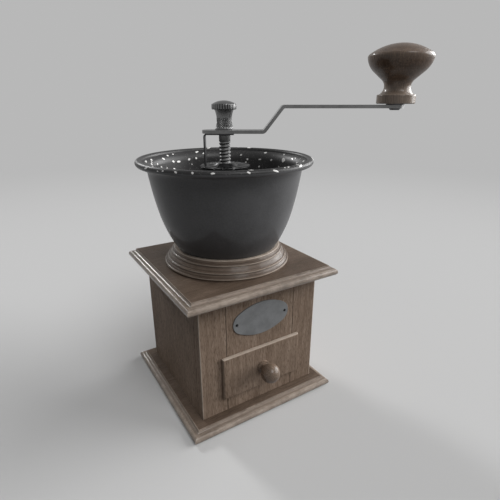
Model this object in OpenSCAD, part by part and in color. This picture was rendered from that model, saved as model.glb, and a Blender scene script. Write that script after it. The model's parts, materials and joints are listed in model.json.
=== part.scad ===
// Hand crank coffee grinder: a wooden box with moulded boards and a drawer, a bowl-shaped
// hopper in a turned ring, conical burrs on a vertical spindle, an adjusting disc with a
// sprung detent, and a cranked arm with a mushroom knob under a knurled nut.
// Millimetres. The origin is the centre of the underside, +Z is up, the drawer faces -Y.

/* [Boards] */
// Width of the square base board and top board
board_w = 120; // [114:1:136]
// Thickness of each board
board_t = 7.4; // [7.4:0.2:9]
// Radius of the half-round nose along a board's edge
nose_r = 2.6; // [2:0.1:2.6]
// Flat fillet between the nose and the cove
fillet_w = 0.5; // [0.3:0.1:1]
// Radius of the cove above the fillet
cove_r = 1.8; // [1:0.1:1.8]

/* [Box] */
// Width and depth of the box
box_w = 96.8; // [94:0.4:104]
// Height of the box between the boards
box_h = 91.2; // [90:0.4:104]
// Thickness of the side, back and front panels
panel_t = 8; // [6:0.5:9]
// Width of a front stile
stile_w = 20.1; // [18:0.1:21]
// Height of the rail under the drawer
rail_h = 14.8; // [12:0.2:16]
// Height of the drawer's opening
opening_h = 28.7; // [24:0.1:30]
// Radius of a dowel between the box and the top board
dowel_r = 2.5; // [2:0.1:2.9]
// Shank radius of a wood screw under the base
screw_r = 1.6; // [1.2:0.1:2]

/* [Drawer] */
// Overlap of the drawer's front on each stile
lip_side = 4.3; // [3:0.1:6]
// Overlap of the drawer's front above and below the opening
lip_end = 2.6; // [1.5:0.1:4]
// Thickness of the overlapping front
lip_t = 2.7; // [2.2:0.1:5]
// Radius of the front's rounded edges
lip_round = 1.4; // [0.6:0.1:2]
// Length of the drawer behind its overlapping front
drawer_len = 78; // [60:1:80]
// Thickness of the drawer's sides and back
drawer_wall = 5; // [4:0.5:7]
// Thickness of the drawer's floor
floor_t = 3; // [2:0.5:4]
// Depth of the groove that holds the floor
groove_d = 2; // [1:0.5:2.5]
// Radius of the drawer knob's ball
ball_r = 7; // [5:0.5:9]
// Radius of the drawer knob's neck
ball_neck_r = 3.2; // [2.6:0.1:4]
// Length of the drawer knob's neck in front of its collar
ball_neck_l = 2.2; // [1.5:0.1:5]

/* [Turned ring] */
// Height of the ring above the top board
ring_h = 12.5; // [11:0.5:15]
// Radius of the ring over its lowest rib
ring_r = 47.1; // [46:0.1:50]
// Radius of the ribs' round section
rib_r = 0.9; // [0.7:0.1:1.1]
// How far the ribs stand out of the slopes between them
rib_out = 0.6; // [0.4:0.1:0.7]
// Height of the lowest rib above the top board
rib_foot_h = 1.6; // [1.2:0.1:2]
// Step inwards from the lowest rib to the middle one
mid_rib_in = 2.2; // [1.6:0.1:2.6]
// Rise from the lowest rib to the middle one
mid_rib_up = 3.3; // [2.8:0.1:3.8]
// Step inwards from the middle rib to the top one
top_rib_in = 3.2; // [2.4:0.1:3.4]
// Rise from the middle rib to the top one
top_rib_up = 4.3; // [3.6:0.1:4.8]
// Width of the ring's flat top
ring_lip_w = 2.2; // [1.2:0.1:2.6]

/* [Hopper bowl] */
// Outer radius of the bowl at its belly
belly_r = 48.8; // [47:0.1:51]
// Height of the belly above the top board
belly_h = 39; // [36:0.5:44]
// Lean of the wall at the belly, in degrees from upright
belly_lean = 14.5; // [12:0.5:17]
// Radius of the wall's arc below the belly
low_arc = 95; // [85:1:110]
// Radius of the wall's arc above the belly
high_arc = 260; // [200:5:400]
// Radius of the round between wall and bottom
foot_arc = 8; // [6:0.5:10]
// Height above the top board at which the wall starts to flare
flare_h = 67.5; // [64:0.5:72]
// Radius of the flare
flare_arc = 7; // [5:0.5:7.5]
// Outer radius of the rolled rim
rim_r = 62.3; // [61.5:0.1:63]
// Radius of the roll
roll_r = 2.2; // [1.6:0.1:2.6]
// Wall of the bowl
bowl_wall = 1.4; // [1:0.1:2]
// Radius of the throat under the bowl
throat_r = 16; // [15:0.5:16]

/* [Burr set] */
// Radius of the circle of the hopper bolts
bolt_circle_r = 19.3; // [19:0.1:19.6]
// Shank radius of a hopper bolt
bolt_r = 1.9; // [1.5:0.1:2]
// Radius of a bolt's head
bolt_head_r = 2.8; // [2.4:0.1:2.9]
// Height of a bolt's head
bolt_head_h = 1.8; // [1.2:0.1:2.4]
// Radius of the housing's flange
flange_r = 30; // [28:0.5:34]
// Thickness of the housing's flange
flange_t = 6; // [5:0.5:7]
// Outer radius of the housing
housing_r = 27; // [26.5:0.1:29]
// Length of the housing below its flange
housing_l = 28.8; // [28:0.2:30]
// Outer radius of the outer burr
burr_seat_r = 22; // [21.5:0.1:22.3]
// Radius of the inner burr at its foot
burr_r = 17.6; // [17:0.1:17.8]
// Gap between the burrs at their foot, at the coarsest setting
burr_gap = 1; // [0.8:0.1:1.6]
// Number of teeth on the outer burr
outer_teeth = 16; // [12:1:20]
// Number of coarse teeth on the inner burr
coarse_teeth = 8; // [6:1:10]
// Number of fine teeth on the inner burr
fine_teeth = 24; // [18:1:28]

/* [Bridge and spindle] */
// Radius of the spindle
spindle_r = 4; // [3.8:0.1:4.2]
// Pitch of the adjusting thread
thread_pitch = 2.35; // [1.5:0.05:3]
// Height of the bridge bar's top above the top board
bridge_h = 65.1; // [58:0.1:67]
// Thickness of the bridge bar
bridge_t = 3; // [2:0.1:3.5]
// Width of the bridge's strap
bridge_w = 12; // [10:0.5:14]
// Thickness of the bridge's legs
leg_t = 2; // [1.6:0.1:2]
// Radius of the bush in the bridge
bush_r = 6.8; // [6.5:0.1:7.5]
// Thickness of the bush's flange and of the keyed washer on it
washer_t = 1.2; // [0.8:0.1:2]
// Wire radius of the spindle spring
spring_wire_r = 0.75; // [0.5:0.05:0.9]
// Length of the spindle spring
spring_l = 13.5; // [11:0.5:18]
// Turns of the spindle spring
spring_turns = 4; // [3:1:5]
// Radius of the spring collar
collar_r = 8; // [7.5:0.1:9]
// Height of the spring collar
collar_h = 6; // [5:0.5:8]

/* [Adjusting disc] */
// Radius of the adjusting disc
disc_r = 17.7; // [16:0.1:20]
// Thickness of the adjusting disc
disc_t = 2.3; // [1.8:0.1:3]
// Number of detent grooves in the disc
disc_detents = 16; // [12:2:24]
// Radius of the disc's boss
disc_boss_r = 7.2; // [6.5:0.1:8]
// Height of the boss above the disc
disc_boss_h = 1.8; // [1:0.1:3]

/* [Crank] */
// Direction of the crank at rest, in degrees from +X
crank_angle = -32; // [-180:1:180]
// Height of the crank's seat above the top board
crank_h = 91.3; // [86:0.1:98]
// Reach from the spindle to the crank knob
crank_reach = 116.1; // [100:0.1:130]
// Width of the crank's strip
strip_w = 12; // [10:0.5:14]
// Thickness of the crank's strip
strip_t = 2.2; // [1.8:0.1:3]
// Length of the strip behind the spindle
tail_l = 15.5; // [15:0.5:18]
// Distance from the spindle to the lower bend
bend_start = 26; // [22:0.5:32]
// Rise of the crank between its two bends
crank_rise = 16.4; // [12:0.1:22]
// Slope of the rising part, in degrees
rise_slope = 52; // [45:1:60]
// Inner radius of the bends
bend_r = 1.6; // [1:0.1:3]
// Width of the square on the spindle
square_w = 5.6; // [5:0.1:5.8]
// Thickness of the detent spring
detent_t = 1; // [0.6:0.1:1.2]
// Distance from the spindle to the detent's tongue
detent_reach = 14; // [13:0.1:15]
// Width of the detent spring
detent_w = 8; // [7:0.5:9]

/* [Crank knob] */
// Radius of the knob's head
head_r = 20.8; // [19:0.1:24]
// Height of the knob
knob_h = 36.9; // [35:0.1:42]
// Radius of the knob's neck
neck_r = 8.5; // [7:0.1:9.5]
// Height of the neck's narrowest place above the knob's foot
neck_h = 10.7; // [9.6:0.1:11.5]
// Radius of the knob's foot
foot_r = 12.6; // [12:0.1:14]
// Thickness of the knob's foot
foot_t = 5.8; // [4:0.1:6.5]
// Radius of the knob's rounded edge
edge_r = 2.2; // [1.6:0.1:3]
// Height of the knob's widest place above its foot
widest_h = 28.7; // [27.5:0.1:30]
// Slope of the head's underside at its edge, in degrees from upright
brow = 9; // [6:1:14]
// Radius of the head's rounded underside
flank_arc = 14.3; // [12:0.1:16]
// Slope of the head's underside towards the neck, in degrees from upright
flank = 49; // [46:1:52]
// Radius of the knob's pin
pin_r = 2.5; // [2:0.1:3]

/* [Knurled nut] */
// Radius of the nut's knurled head
nut_head_r = 8.5; // [8:0.1:10]
// Radius of the nut's waist
nut_waist_r = 5.15; // [4.8:0.05:5.6]
// Radius of the nut's foot
nut_foot_r = 6; // [5.8:0.1:6.4]
// Height of the nut
nut_h = 18.4; // [17:0.1:21]
// Height of the nut's head with its dome
nut_head_h = 5.8; // [5:0.1:7.5]
// Height of the nut's dome
nut_dome_h = 2.3; // [1:0.1:2.8]
// Number of ribs in the knurl
knurl_ribs = 30; // [20:1:40]
// Radius of the thread that the nut runs on
stud_r = 2.7; // [2.4:0.1:2.8]

/* [Plate] */
// Length of the blank oval plate
plate_l = 46.1; // [40:0.1:50]
// Height of the blank oval plate
plate_h = 25.2; // [22:0.1:28]
// Thickness of the plate
plate_t = 0.7; // [0.5:0.1:1.2]
// Height of the plate's centre above the base board
plate_z = 68.9; // [66:0.1:72]
// Distance between the plate's two pins
plate_pin_gap = 40.2; // [36:0.1:42]

/* [Fits] */
// Gap between pieces that move against each other
seat_gap = 0.3; // [0.2:0.05:0.4]
// Side gap between the drawer and its opening
drawer_gap = 0.5; // [0.3:0.1:1]
// Radial gap between a turning shaft and its bore
run_gap = 0.06; // [0.03:0.01:0.1]
// Gap round a fixed piece in its hole
fit_gap = 0.05; // [0.02:0.01:0.1]
// Gap under the turning crank knob and the turning nut
turn_gap = 0.1; // [0.05:0.01:0.2]

/* [Hidden] */
$fn = 96;

wood = "#6b5c50";
dark_wood = "#4a3a30";
enamel = "#3a3b3d";
steel = "#8a8a88";
brass = "#a98b4f";
iron = "#4b4b4d";
zinc = "#6a6d70";
big = 400;

// Boards and box
box_z = board_t;
top_z = box_z + box_h;
deck_z = top_z + board_t;
half_box = box_w / 2;
front_y = -half_box;
inner_half = half_box - panel_t;
side_len = box_w - panel_t;
flat_half = board_w / 2 - nose_r - fillet_w - cove_r;
opening_w = box_w - 2 * stile_w;
opening_z = box_z + rail_h;
opening_top = opening_z + opening_h;
dowel_h = 12;
dowel_y = 28;
side_mid = half_box - panel_t / 2;
screw_y = 30;
screw_l = 22;
screw_head_r = 2 * screw_r;
slot_w = 0.9;
slot_d = 0.8;

// Drawer
lip_y = front_y - seat_gap - lip_t;
drawer_y = lip_y + lip_t;
drawer_back_y = drawer_y + drawer_len;
drawer_half = opening_w / 2 - drawer_gap;
drawer_z = opening_z + seat_gap;
drawer_top = opening_top - 2 * drawer_gap;
drawer_block = 8;
floor_lift = 2;
floor_z = drawer_z + floor_lift;
runner_ledge = 7;
runner_guide_h = 12;
knob_z = (opening_z + opening_top) / 2;
ball_collar_r = 5;
ball_collar_t = 1.4;
ball_y = lip_y - ball_collar_t - ball_neck_l - sqrt(ball_r * ball_r - ball_neck_r * ball_neck_r);
knob_screw_r = 1.5;
knob_screw_head_r = 3.2;
knob_screw_head_t = 1.6;

// Hopper bowl: a low arc and a high arc meet at the belly, a flare and a roll end it
belly = [belly_r, deck_z + belly_h];
low_c = belly + low_arc * [-cos(belly_lean), sin(belly_lean)];
high_c = belly + high_arc * [-cos(belly_lean), sin(belly_lean)];
flare_lean = asin((high_c[1] - deck_z - flare_h) / high_arc);
flare_c = high_c + (high_arc + flare_arc) * [cos(flare_lean), -sin(flare_lean)];
foot_z = deck_z + foot_arc;
foot_lean = asin((low_c[1] - foot_z) / (low_arc - foot_arc));
foot_c = [low_c[0] + (low_arc - foot_arc) * cos(foot_lean), foot_z];
roll_x = rim_r - roll_r;
roll_mid = flare_arc + bowl_wall / 2;
roll_rise = sqrt(roll_mid * roll_mid - pow(flare_c[0] - roll_x, 2));
roll_c = [roll_x, flare_c[1] + roll_rise];
ring_top = deck_z + ring_h;
ring_bore = bowl_radius(ring_top) + fit_gap;
mid_rib_r = ring_r - mid_rib_in;
top_rib_r = mid_rib_r - top_rib_in;
mid_rib_h = rib_foot_h + mid_rib_up;
top_rib_h = mid_rib_h + top_rib_up;

// Burr set
housing_z = top_z - flange_t - housing_l;
grind_low_h = 8;
grind_h = 12;
cone_skirt = 1;
burr_foot_z = housing_z + grind_low_h;
burr_waist_z = burr_foot_z + grind_h;
burr_top_z = top_z - flange_t;
burr_rim_r = burr_seat_r - 1.2;
funnel_r = throat_r + 0.6;
outer_taper = 3.1;
waist_gap = 2.5;
outer_foot_r = burr_r + burr_gap;
outer_waist_r = outer_foot_r - outer_taper;
inner_waist_r = outer_waist_r - waist_gap;
inner_top_r = 7;
burr_bore_r = 3.5;
burr_flat = 3;
tail_r = 2.9;
burr_nut_t = 4.3;
burr_nut_r = 5.8;
bearing_t = 3;
bearing_hub_r = 6.5;
bearing_hub_t = 7;
bearing_hub_drop = 5;
bearing_hub_z = housing_z - bearing_hub_drop;
spoke_w = 5;
bearing_screw_r = 1.1;
bearing_screw_circle_r = (burr_seat_r + housing_r) / 2;
bearing_screw_l = 9;
bolt_hole_r = bolt_r + fit_gap;
bolt_blind_t = 1.5;
bolt_grip = flange_t - bolt_blind_t;

// Bridge, spindle and adjusting disc
bowl_floor_z = deck_z + bowl_wall;
bridge_top = deck_z + bridge_h;
bridge_under = bridge_top - bridge_t;
leg_u = bolt_circle_r + bolt_head_r + seat_gap + leg_t;
foot_plate_t = 2.2;
foot_in = throat_r + seat_gap;
hub_band = 4;
hub_r = bush_r + hub_band;
bush_flange_w = 2.2;
bush_flange_r = bush_r + bush_flange_w;
bush_flange_top = bridge_top + washer_t;
bush_low = 2;
washer_z = bush_flange_top + seat_gap;
disc_z = washer_z + washer_t + seat_gap;
disc_top = disc_z + disc_t;
detent_groove_r = 1.2;
detent_groove_d = 0.6;
key_depth = 0.7;
key_flat = spindle_r - key_depth;
lift_travel = thread_pitch / 2;
key_low = bush_flange_top - lift_travel - seat_gap;
key_high = disc_top + disc_boss_h + seat_gap;
cone_tip_h = 2.4;
burr_seat_z = burr_top_z + cone_tip_h;
tail_top = burr_foot_z - cone_skirt;
tail_over = 1.3;
tail_end = bearing_hub_z - tail_over;
spring_top = bridge_under - bush_low - seat_gap;
spring_low = spring_top - spring_l;
coil_gap = 0.9;
spring_r = spindle_r + spring_wire_r + coil_gap;
collar_top = spring_low - seat_gap;
collar_pin_r = 1.2;

// Crank, u runs along the arm from the spindle's axis
crank_seat_z = deck_z + crank_h;
strip_z = crank_seat_z + detent_t;
strip_top = strip_z + strip_t;
rise_mid_r = bend_r + strip_t / 2;
bend_low_c = [bend_start, strip_top + bend_r];
upper_z = strip_z + crank_rise;
bend_high_z = upper_z - bend_r;
rise_drop = bend_high_z - bend_low_c[1] + 2 * rise_mid_r * cos(rise_slope);
rise_l = rise_drop / sin(rise_slope);
bend_high_u = bend_start + 2 * rise_mid_r * sin(rise_slope) + rise_l * cos(rise_slope);
bend_high_c = [bend_high_u, bend_high_z];
upper_top = upper_z + strip_t;
detent_low_z = disc_top + seat_gap;
detent_bend_r = 1.2;
stud_l = 13;
stud_top = strip_top + stud_l;
detent_clamp = 6.5;

// Crank knob
knob_washer_t = 0.5;
knob_washer_r = 6;
knob_foot_z = upper_top + knob_washer_t + turn_gap;
knob_top_z = knob_foot_z + knob_h;
edge_c = [head_r - edge_r, knob_foot_z + widest_h];
dome_fall = knob_top_z - edge_c[1];
dome_r = (pow(edge_c[0], 2) + pow(dome_fall, 2) - pow(edge_r, 2)) / (2 * (dome_fall - edge_r));
dome_c = [0, knob_top_z - dome_r];
dome_lean = atan2(edge_c[1] - dome_c[1], edge_c[0]);
flank_c = edge_c - (flank_arc - edge_r) * [cos(brow), -sin(brow)];
flank_top = flank_c + flank_arc * [cos(flank), -sin(flank)];
neck_z = knob_foot_z + neck_h;
neck_reach = (neck_r - flank_top[0]) * cos(flank) - (neck_z - flank_top[1]) * sin(flank);
neck_arc = neck_reach / (1 - cos(flank));
neck_c = [neck_r + neck_arc, neck_z];
flank_low = neck_c - neck_arc * [cos(flank), -sin(flank)];
pin_head_r = 4.4;
pin_head_t = 1.6;
pin_head_deep = 3.4;
pin_head_z = knob_top_z - pin_head_deep;
rivet_r = 4;
rivet_t = 1.2;

// Knurled nut
nut_washer_r = 6.6;
nut_washer_t = 0.8;
nut_z = strip_top + nut_washer_t;
nut_top = nut_z + nut_h;
nut_rim_z = nut_top - nut_head_h;
nut_dome_z = nut_top - nut_dome_h;
nut_rib_d = 0.4;
nut_under_r = nut_head_r - nut_rib_d;
nut_foot_h = 5.4;
nut_waist_z = nut_z + nut_foot_h;
nut_waist_rise = nut_rim_z - nut_waist_z;
nut_step = nut_under_r - nut_waist_r;
nut_arc = (pow(nut_waist_rise, 2) + pow(nut_step, 2)) / (2 * nut_step);
nut_dome_r = (pow(nut_head_r, 2) + pow(nut_dome_h, 2)) / (2 * nut_dome_h);
nut_bore_top = stud_top + 1;

// Plate
plate_end_r = plate_h / 3;
plate_end_x = plate_l / 2 - plate_end_r;
plate_arc = (pow(plate_end_x, 2) + pow(plate_h / 2, 2) - pow(plate_end_r, 2)) / (plate_h - 2 * plate_end_r);
plate_drop = plate_arc - plate_h / 2;
plate_cut_x = plate_end_x * plate_arc / (plate_arc - plate_end_r);
plate_y = front_y;
plate_mid_z = box_z + plate_z;
pin_shank_r = 0.6;
pin_dome_r = 1.1;
pin_dome_h = 0.7;
pin_l = 6;

// Outer radius of the bowl's lower wall at height z
function bowl_radius(z) = low_c[0] + sqrt(low_arc * low_arc - pow(z - low_c[1], 2));

// Points along an arc round c, from angle a0 to angle a1
function arc_points(c, r, a0, a1, steps) =
    [for (i = [0:steps]) let (a = a0 + (a1 - a0) * i / steps) c + r * [cos(a), sin(a)]];

// Place something on the crank's own line
module along_crank() {
    rotate([0, 0, crank_angle]) children();
}

// A band between two radii round c, from angle a0 to angle a1 (less than half a turn)
module arc_band(c, r_in, r_out, a0, a1) {
    far = 4 * r_out;
    mid = (a0 + a1) / 2;
    translate(c) intersection() {
        difference() {
            circle(r_out);
            circle(r_in);
        }
        polygon([[0, 0], far * [cos(a0), sin(a0)], far * [cos(mid), sin(mid)], far * [cos(a1), sin(a1)]]);
    }
}

// A prism of a section drawn across X and up Y, running along Y for the given length
module run_along_y(length) {
    rotate([90, 0, 0]) linear_extrude(height = length, center = true) children();
}

// ---- boards ----

module board_section() {
    nose_x = board_w / 2 - nose_r;
    cove_x = flat_half + cove_r;
    nose_top = 2 * nose_r;
    translate([-nose_x, 0]) square([2 * nose_x, nose_top]);
    translate([-flat_half, nose_top]) square([2 * flat_half, board_t - nose_top]);
    for (side = [-1, 1]) {
        translate([side * nose_x, nose_r]) circle(nose_r);
        difference() {
            translate([side * (flat_half + cove_r / 2) - cove_r / 2, nose_top]) square(cove_r);
            translate([side * cove_x, nose_top + cove_r]) circle(cove_r);
        }
    }
}

// The same section run both ways, so the mouldings meet in mitres
module moulded_board() {
    intersection() {
        run_along_y(big) board_section();
        rotate([0, 0, 90]) run_along_y(big) board_section();
    }
}

module at_dowels() {
    for (x = [-1, 1], y = [-1, 1]) translate([x * side_mid, y * dowel_y, top_z]) children();
}

module at_base_screws() {
    for (x = [-1, 1], y = [-1, 1]) translate([x * side_mid, y * screw_y, 0]) children();
}

module wood_screw(gap) {
    head_h = screw_head_r - screw_r;
    translate([0, 0, -gap]) {
        cylinder(h = screw_l + 2 * gap, r = screw_r + gap);
        cylinder(h = head_h + 2 * gap, r1 = screw_head_r + 2 * gap, r2 = screw_r);
    }
}

module driver_slot(head_top) {
    translate([-big / 2, -slot_w / 2, head_top - slot_d]) cube([big, slot_w, slot_d + 1]);
}

module base_board() {
    color(wood) difference() {
        moulded_board();
        at_base_screws() wood_screw(fit_gap);
    }
}

module top_board() {
    color(wood) difference() {
        translate([0, 0, top_z]) moulded_board();
        translate([0, 0, top_z - 1]) cylinder(h = board_t + 2, r = throat_r);
        at_dowels() cylinder(h = dowel_h, r = dowel_r + fit_gap, center = true);
        at_hopper_bolts() translate([0, 0, top_z - 1]) cylinder(h = board_t + 2, r = bolt_hole_r);
    }
}

// ---- box ----

module side_panel(side) {
    color(wood) difference() {
        translate([side * side_mid - panel_t / 2, front_y + panel_t, box_z]) cube([panel_t, side_len, box_h]);
        at_dowels() cylinder(h = dowel_h, r = dowel_r + fit_gap, center = true);
        at_base_screws() cylinder(h = screw_l + 1, r = screw_r + fit_gap);
    }
}

module left_side() {
    side_panel(-1);
}

module right_side() {
    side_panel(1);
}

module back_panel() {
    color(wood) translate([-inner_half, inner_half, box_z]) cube([2 * inner_half, panel_t, box_h]);
}

module left_stile() {
    color(wood) translate([-half_box, front_y, box_z]) cube([stile_w, panel_t, box_h]);
}

module right_stile() {
    color(wood) translate([half_box - stile_w, front_y, box_z]) cube([stile_w, panel_t, box_h]);
}

module upper_front_panel() {
    color(wood) difference() {
        translate([-opening_w / 2, front_y, opening_top]) cube([opening_w, panel_t, top_z - opening_top]);
        at_plate_pins() cylinder(h = pin_l, r = pin_shank_r + fit_gap);
    }
}

module lower_rail() {
    color(wood) translate([-opening_w / 2, front_y, box_z]) cube([opening_w, panel_t, rail_h]);
}

module box_dowels() {
    color(wood) at_dowels() cylinder(h = dowel_h - 1, r = dowel_r, center = true);
}

module base_screws() {
    color(steel) at_base_screws() wood_screw(0);
}

// L-shaped strip beside and under the drawer, glued to the box's side
module runner(side) {
    guide_x = opening_w / 2;
    ledge_x = guide_x - runner_ledge;
    section = [
        [ledge_x, box_z],
        [inner_half, box_z],
        [inner_half, opening_z + runner_guide_h],
        [guide_x, opening_z + runner_guide_h],
        [guide_x, opening_z],
        [ledge_x, opening_z]
    ];
    color(wood) run_along_y(2 * inner_half) polygon([for (p = section) [side * p[0], p[1]]]);
}

module left_runner() {
    runner(-1);
}

module right_runner() {
    runner(1);
}

// ---- plate ----

module oval_outline() {
    intersection() {
        translate([0, -plate_drop]) circle(plate_arc);
        translate([0, plate_drop]) circle(plate_arc);
        square([2 * plate_cut_x, big], center = true);
    }
    for (side = [-1, 1]) translate([side * plate_end_x, 0]) circle(plate_end_r);
}

module at_plate_pins() {
    for (side = [-1, 1]) {
        translate([side * plate_pin_gap / 2, plate_y, plate_mid_z]) rotate([-90, 0, 0]) children();
    }
}

module blank_plate() {
    color(zinc) difference() {
        translate([0, plate_y, plate_mid_z]) rotate([90, 0, 0]) {
            linear_extrude(height = plate_t) oval_outline();
        }
        at_plate_pins() cylinder(h = 4 * plate_t, r = pin_shank_r + fit_gap, center = true);
    }
}

module plate_pins() {
    dome = (pow(pin_dome_r, 2) + pow(pin_dome_h, 2)) / (2 * pin_dome_h);
    color(steel) at_plate_pins() {
        translate([0, 0, -plate_t]) cylinder(h = pin_l + plate_t - 1, r = pin_shank_r);
        translate([0, 0, -plate_t]) intersection() {
            translate([0, 0, dome - pin_dome_h]) sphere(dome);
            translate([0, 0, -pin_dome_h]) cylinder(h = pin_dome_h, r = big);
        }
    }
}

// ---- turned ring and bowl ----

// Three beads, each a step in from the one below, with a plain land on top
module turned_ring() {
    ribs = [[ring_r, rib_foot_h], [mid_rib_r, mid_rib_h], [top_rib_r, top_rib_h]];
    color(wood) translate([0, 0, deck_z]) rotate_extrude() difference() {
        union() {
            for (rib = ribs) translate([rib[0] - rib_r, rib[1]]) circle(rib_r, $fn = 48);
            polygon([
                [0, 0],
                [ring_r - rib_out, 0],
                [ring_r - rib_out, rib_foot_h],
                [mid_rib_r - rib_out, mid_rib_h],
                [top_rib_r - rib_out, top_rib_h],
                [ring_bore + ring_lip_w, ring_h],
                [0, ring_h]
            ]);
        }
        translate([-1, -1]) square([ring_bore + 1, ring_h + 2]);
    }
}

// Up the outside from the throat, over the flare, and back down the inside
module bowl_section() {
    steps = 8;
    inner = foot_arc - bowl_wall;
    polygon(concat(
        [[throat_r, deck_z]],
        arc_points(foot_c, foot_arc, -90, -foot_lean, steps),
        arc_points(low_c, low_arc, -foot_lean, -belly_lean, steps),
        arc_points(high_c, high_arc, -belly_lean, -flare_lean, steps),
        arc_points(flare_c, flare_arc, 180 - flare_lean, 90, steps),
        arc_points(flare_c, flare_arc + bowl_wall, 90, 180 - flare_lean, steps),
        arc_points(high_c, high_arc - bowl_wall, -flare_lean, -belly_lean, steps),
        arc_points(low_c, low_arc - bowl_wall, -belly_lean, -foot_lean, steps),
        arc_points(foot_c, inner, -foot_lean, -90, steps),
        [[throat_r, deck_z + bowl_wall]]
    ));
    translate(roll_c) circle(roll_r);
}

module hopper_bowl() {
    color(enamel) difference() {
        rotate_extrude() bowl_section();
        at_hopper_bolts() translate([0, 0, deck_z - 1]) cylinder(h = bowl_wall + 2, r = bolt_hole_r);
    }
}

// Four bolts: the two on the crank's line also hold the bridge's feet
module at_hopper_bolts() {
    for (k = [0:3]) rotate([0, 0, crank_angle + 90 * k]) translate([bolt_circle_r, 0, 0]) children();
}

module hopper_bolt(seat_z) {
    low = top_z - bolt_grip;
    translate([0, 0, low]) cylinder(h = seat_z - low, r = bolt_r);
    translate([0, 0, seat_z]) difference() {
        cylinder(h = bolt_head_h, r = bolt_head_r);
        driver_slot(bolt_head_h);
    }
}

module hopper_bolts() {
    color(steel) for (k = [0:3]) {
        rotate([0, 0, crank_angle + 90 * k]) translate([bolt_circle_r, 0, 0]) {
            hopper_bolt(bowl_floor_z + (k % 2 == 0 ? foot_plate_t : 0));
        }
    }
}

// ---- bridge ----

// Side view of the arch: feet, legs and the bar across
module bridge_section() {
    corner = 6;
    low = bowl_floor_z;
    foot_top = low + foot_plate_t;
    inner_u = leg_u - leg_t;
    difference() {
        union() {
            translate([-leg_u, low]) square([2 * leg_u, bridge_top - low - corner]);
            translate([-leg_u + corner, low]) square([2 * (leg_u - corner), bridge_top - low]);
            for (side = [-1, 1]) translate([side * (leg_u - corner), bridge_top - corner]) circle(corner);
        }
        translate([-inner_u, foot_top]) square([2 * inner_u, bridge_under - foot_top]);
        translate([-foot_in, low - 1]) square([2 * foot_in, foot_plate_t + 2]);
    }
}

module bridge() {
    color(steel) along_crank() difference() {
        union() {
            run_along_y(bridge_w) bridge_section();
            translate([0, 0, bridge_under]) cylinder(h = bridge_t, r = hub_r);
        }
        translate([0, 0, bridge_under - 1]) cylinder(h = bridge_t + 2, r = bush_r + fit_gap);
        for (side = [-1, 1]) translate([side * bolt_circle_r, 0, bowl_floor_z - 1]) {
            cylinder(h = foot_plate_t + 2, r = bolt_hole_r);
        }
    }
}

module bridge_bush() {
    color(brass) difference() {
        union() {
            translate([0, 0, bridge_under - bush_low]) cylinder(h = bridge_t + bush_low, r = bush_r);
            translate([0, 0, bridge_top]) cylinder(h = washer_t, r = bush_flange_r);
        }
        translate([0, 0, bridge_under - bush_low - 1]) cylinder(h = bridge_t + 8, r = spindle_r + run_gap);
    }
}

// Round wire wound up the spindle
function coil_point(turn, wire_angle) =
    let (r = spring_r + spring_wire_r * cos(wire_angle))
    let (rise = spring_l - 2 * spring_wire_r)
    let (z = spring_low + spring_wire_r + rise * turn / spring_turns + spring_wire_r * sin(wire_angle))
    [r * cos(360 * turn), r * sin(360 * turn), z];

module spindle_spring() {
    per_turn = 24;
    sides = 8;
    rings = spring_turns * per_turn;
    points = [for (i = [0:rings], j = [0:sides - 1]) coil_point(i / per_turn, 360 * j / sides)];
    skin = [
        for (i = [0:rings - 1], j = [0:sides - 1])
            let (a = i * sides + j, b = i * sides + (j + 1) % sides)
            [a, a + sides, b + sides, b]
    ];
    start = [for (j = [0:sides - 1]) j];
    finish = [for (j = [sides - 1:-1:0]) rings * sides + j];
    color(steel) polyhedron(points = points, faces = concat(skin, [start, finish]), convexity = 8);
}

// ---- burr set ----

module burr_housing() {
    color(iron) difference() {
        rotate_extrude() polygon([
            [throat_r, top_z],
            [flange_r, top_z],
            [flange_r, burr_top_z],
            [housing_r, burr_top_z],
            [housing_r, housing_z],
            [burr_seat_r + fit_gap, housing_z],
            [burr_seat_r + fit_gap, burr_top_z],
            [throat_r, burr_top_z]
        ]);
        at_hopper_bolts() translate([0, 0, top_z - bolt_grip - seat_gap]) {
            cylinder(h = bolt_grip + 1, r = bolt_hole_r);
        }
        at_bearing_screws() cylinder(h = bearing_screw_l + 1, r = bearing_screw_r + fit_gap);
    }
}

// V-groove cutter lying along a cone's side, from (r0, z0) to (r1, z1), turned by skew
module tooth_groove(r0, z0, r1, z1, width, skew) {
    run = sqrt(pow(r1 - r0, 2) + pow(z1 - z0, 2));
    lean = atan2(r1 - r0, z1 - z0);
    translate([(r0 + r1) / 2, 0, (z0 + z1) / 2]) {
        rotate([0, lean, 0]) rotate([skew, 0, 0]) rotate([0, 0, 45]) {
            cube([width, width, 1.1 * run], center = true);
        }
    }
}

// Ring with a funnel above and a widening grinding cone below, toothed inside
module outer_burr() {
    tooth_w = 1.4;
    funnel_w = 2.6;
    grind_relief = 1.5;
    color(iron) difference() {
        rotate_extrude() polygon([
            [burr_seat_r, housing_z],
            [burr_seat_r, burr_top_z],
            [funnel_r, burr_top_z],
            [outer_waist_r, burr_waist_z],
            [outer_foot_r, burr_foot_z],
            [burr_rim_r, burr_foot_z - grind_relief],
            [burr_rim_r, housing_z]
        ]);
        for (k = [0:outer_teeth - 1]) rotate([0, 0, 360 * k / outer_teeth]) {
            tooth_groove(outer_foot_r, burr_foot_z, outer_waist_r, burr_waist_z, tooth_w, 0);
        }
        for (k = [0:outer_teeth / 2 - 1]) rotate([0, 0, 720 * k / outer_teeth]) {
            tooth_groove(outer_waist_r, burr_waist_z, funnel_r, burr_top_z, funnel_w, 0);
        }
    }
}

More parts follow.
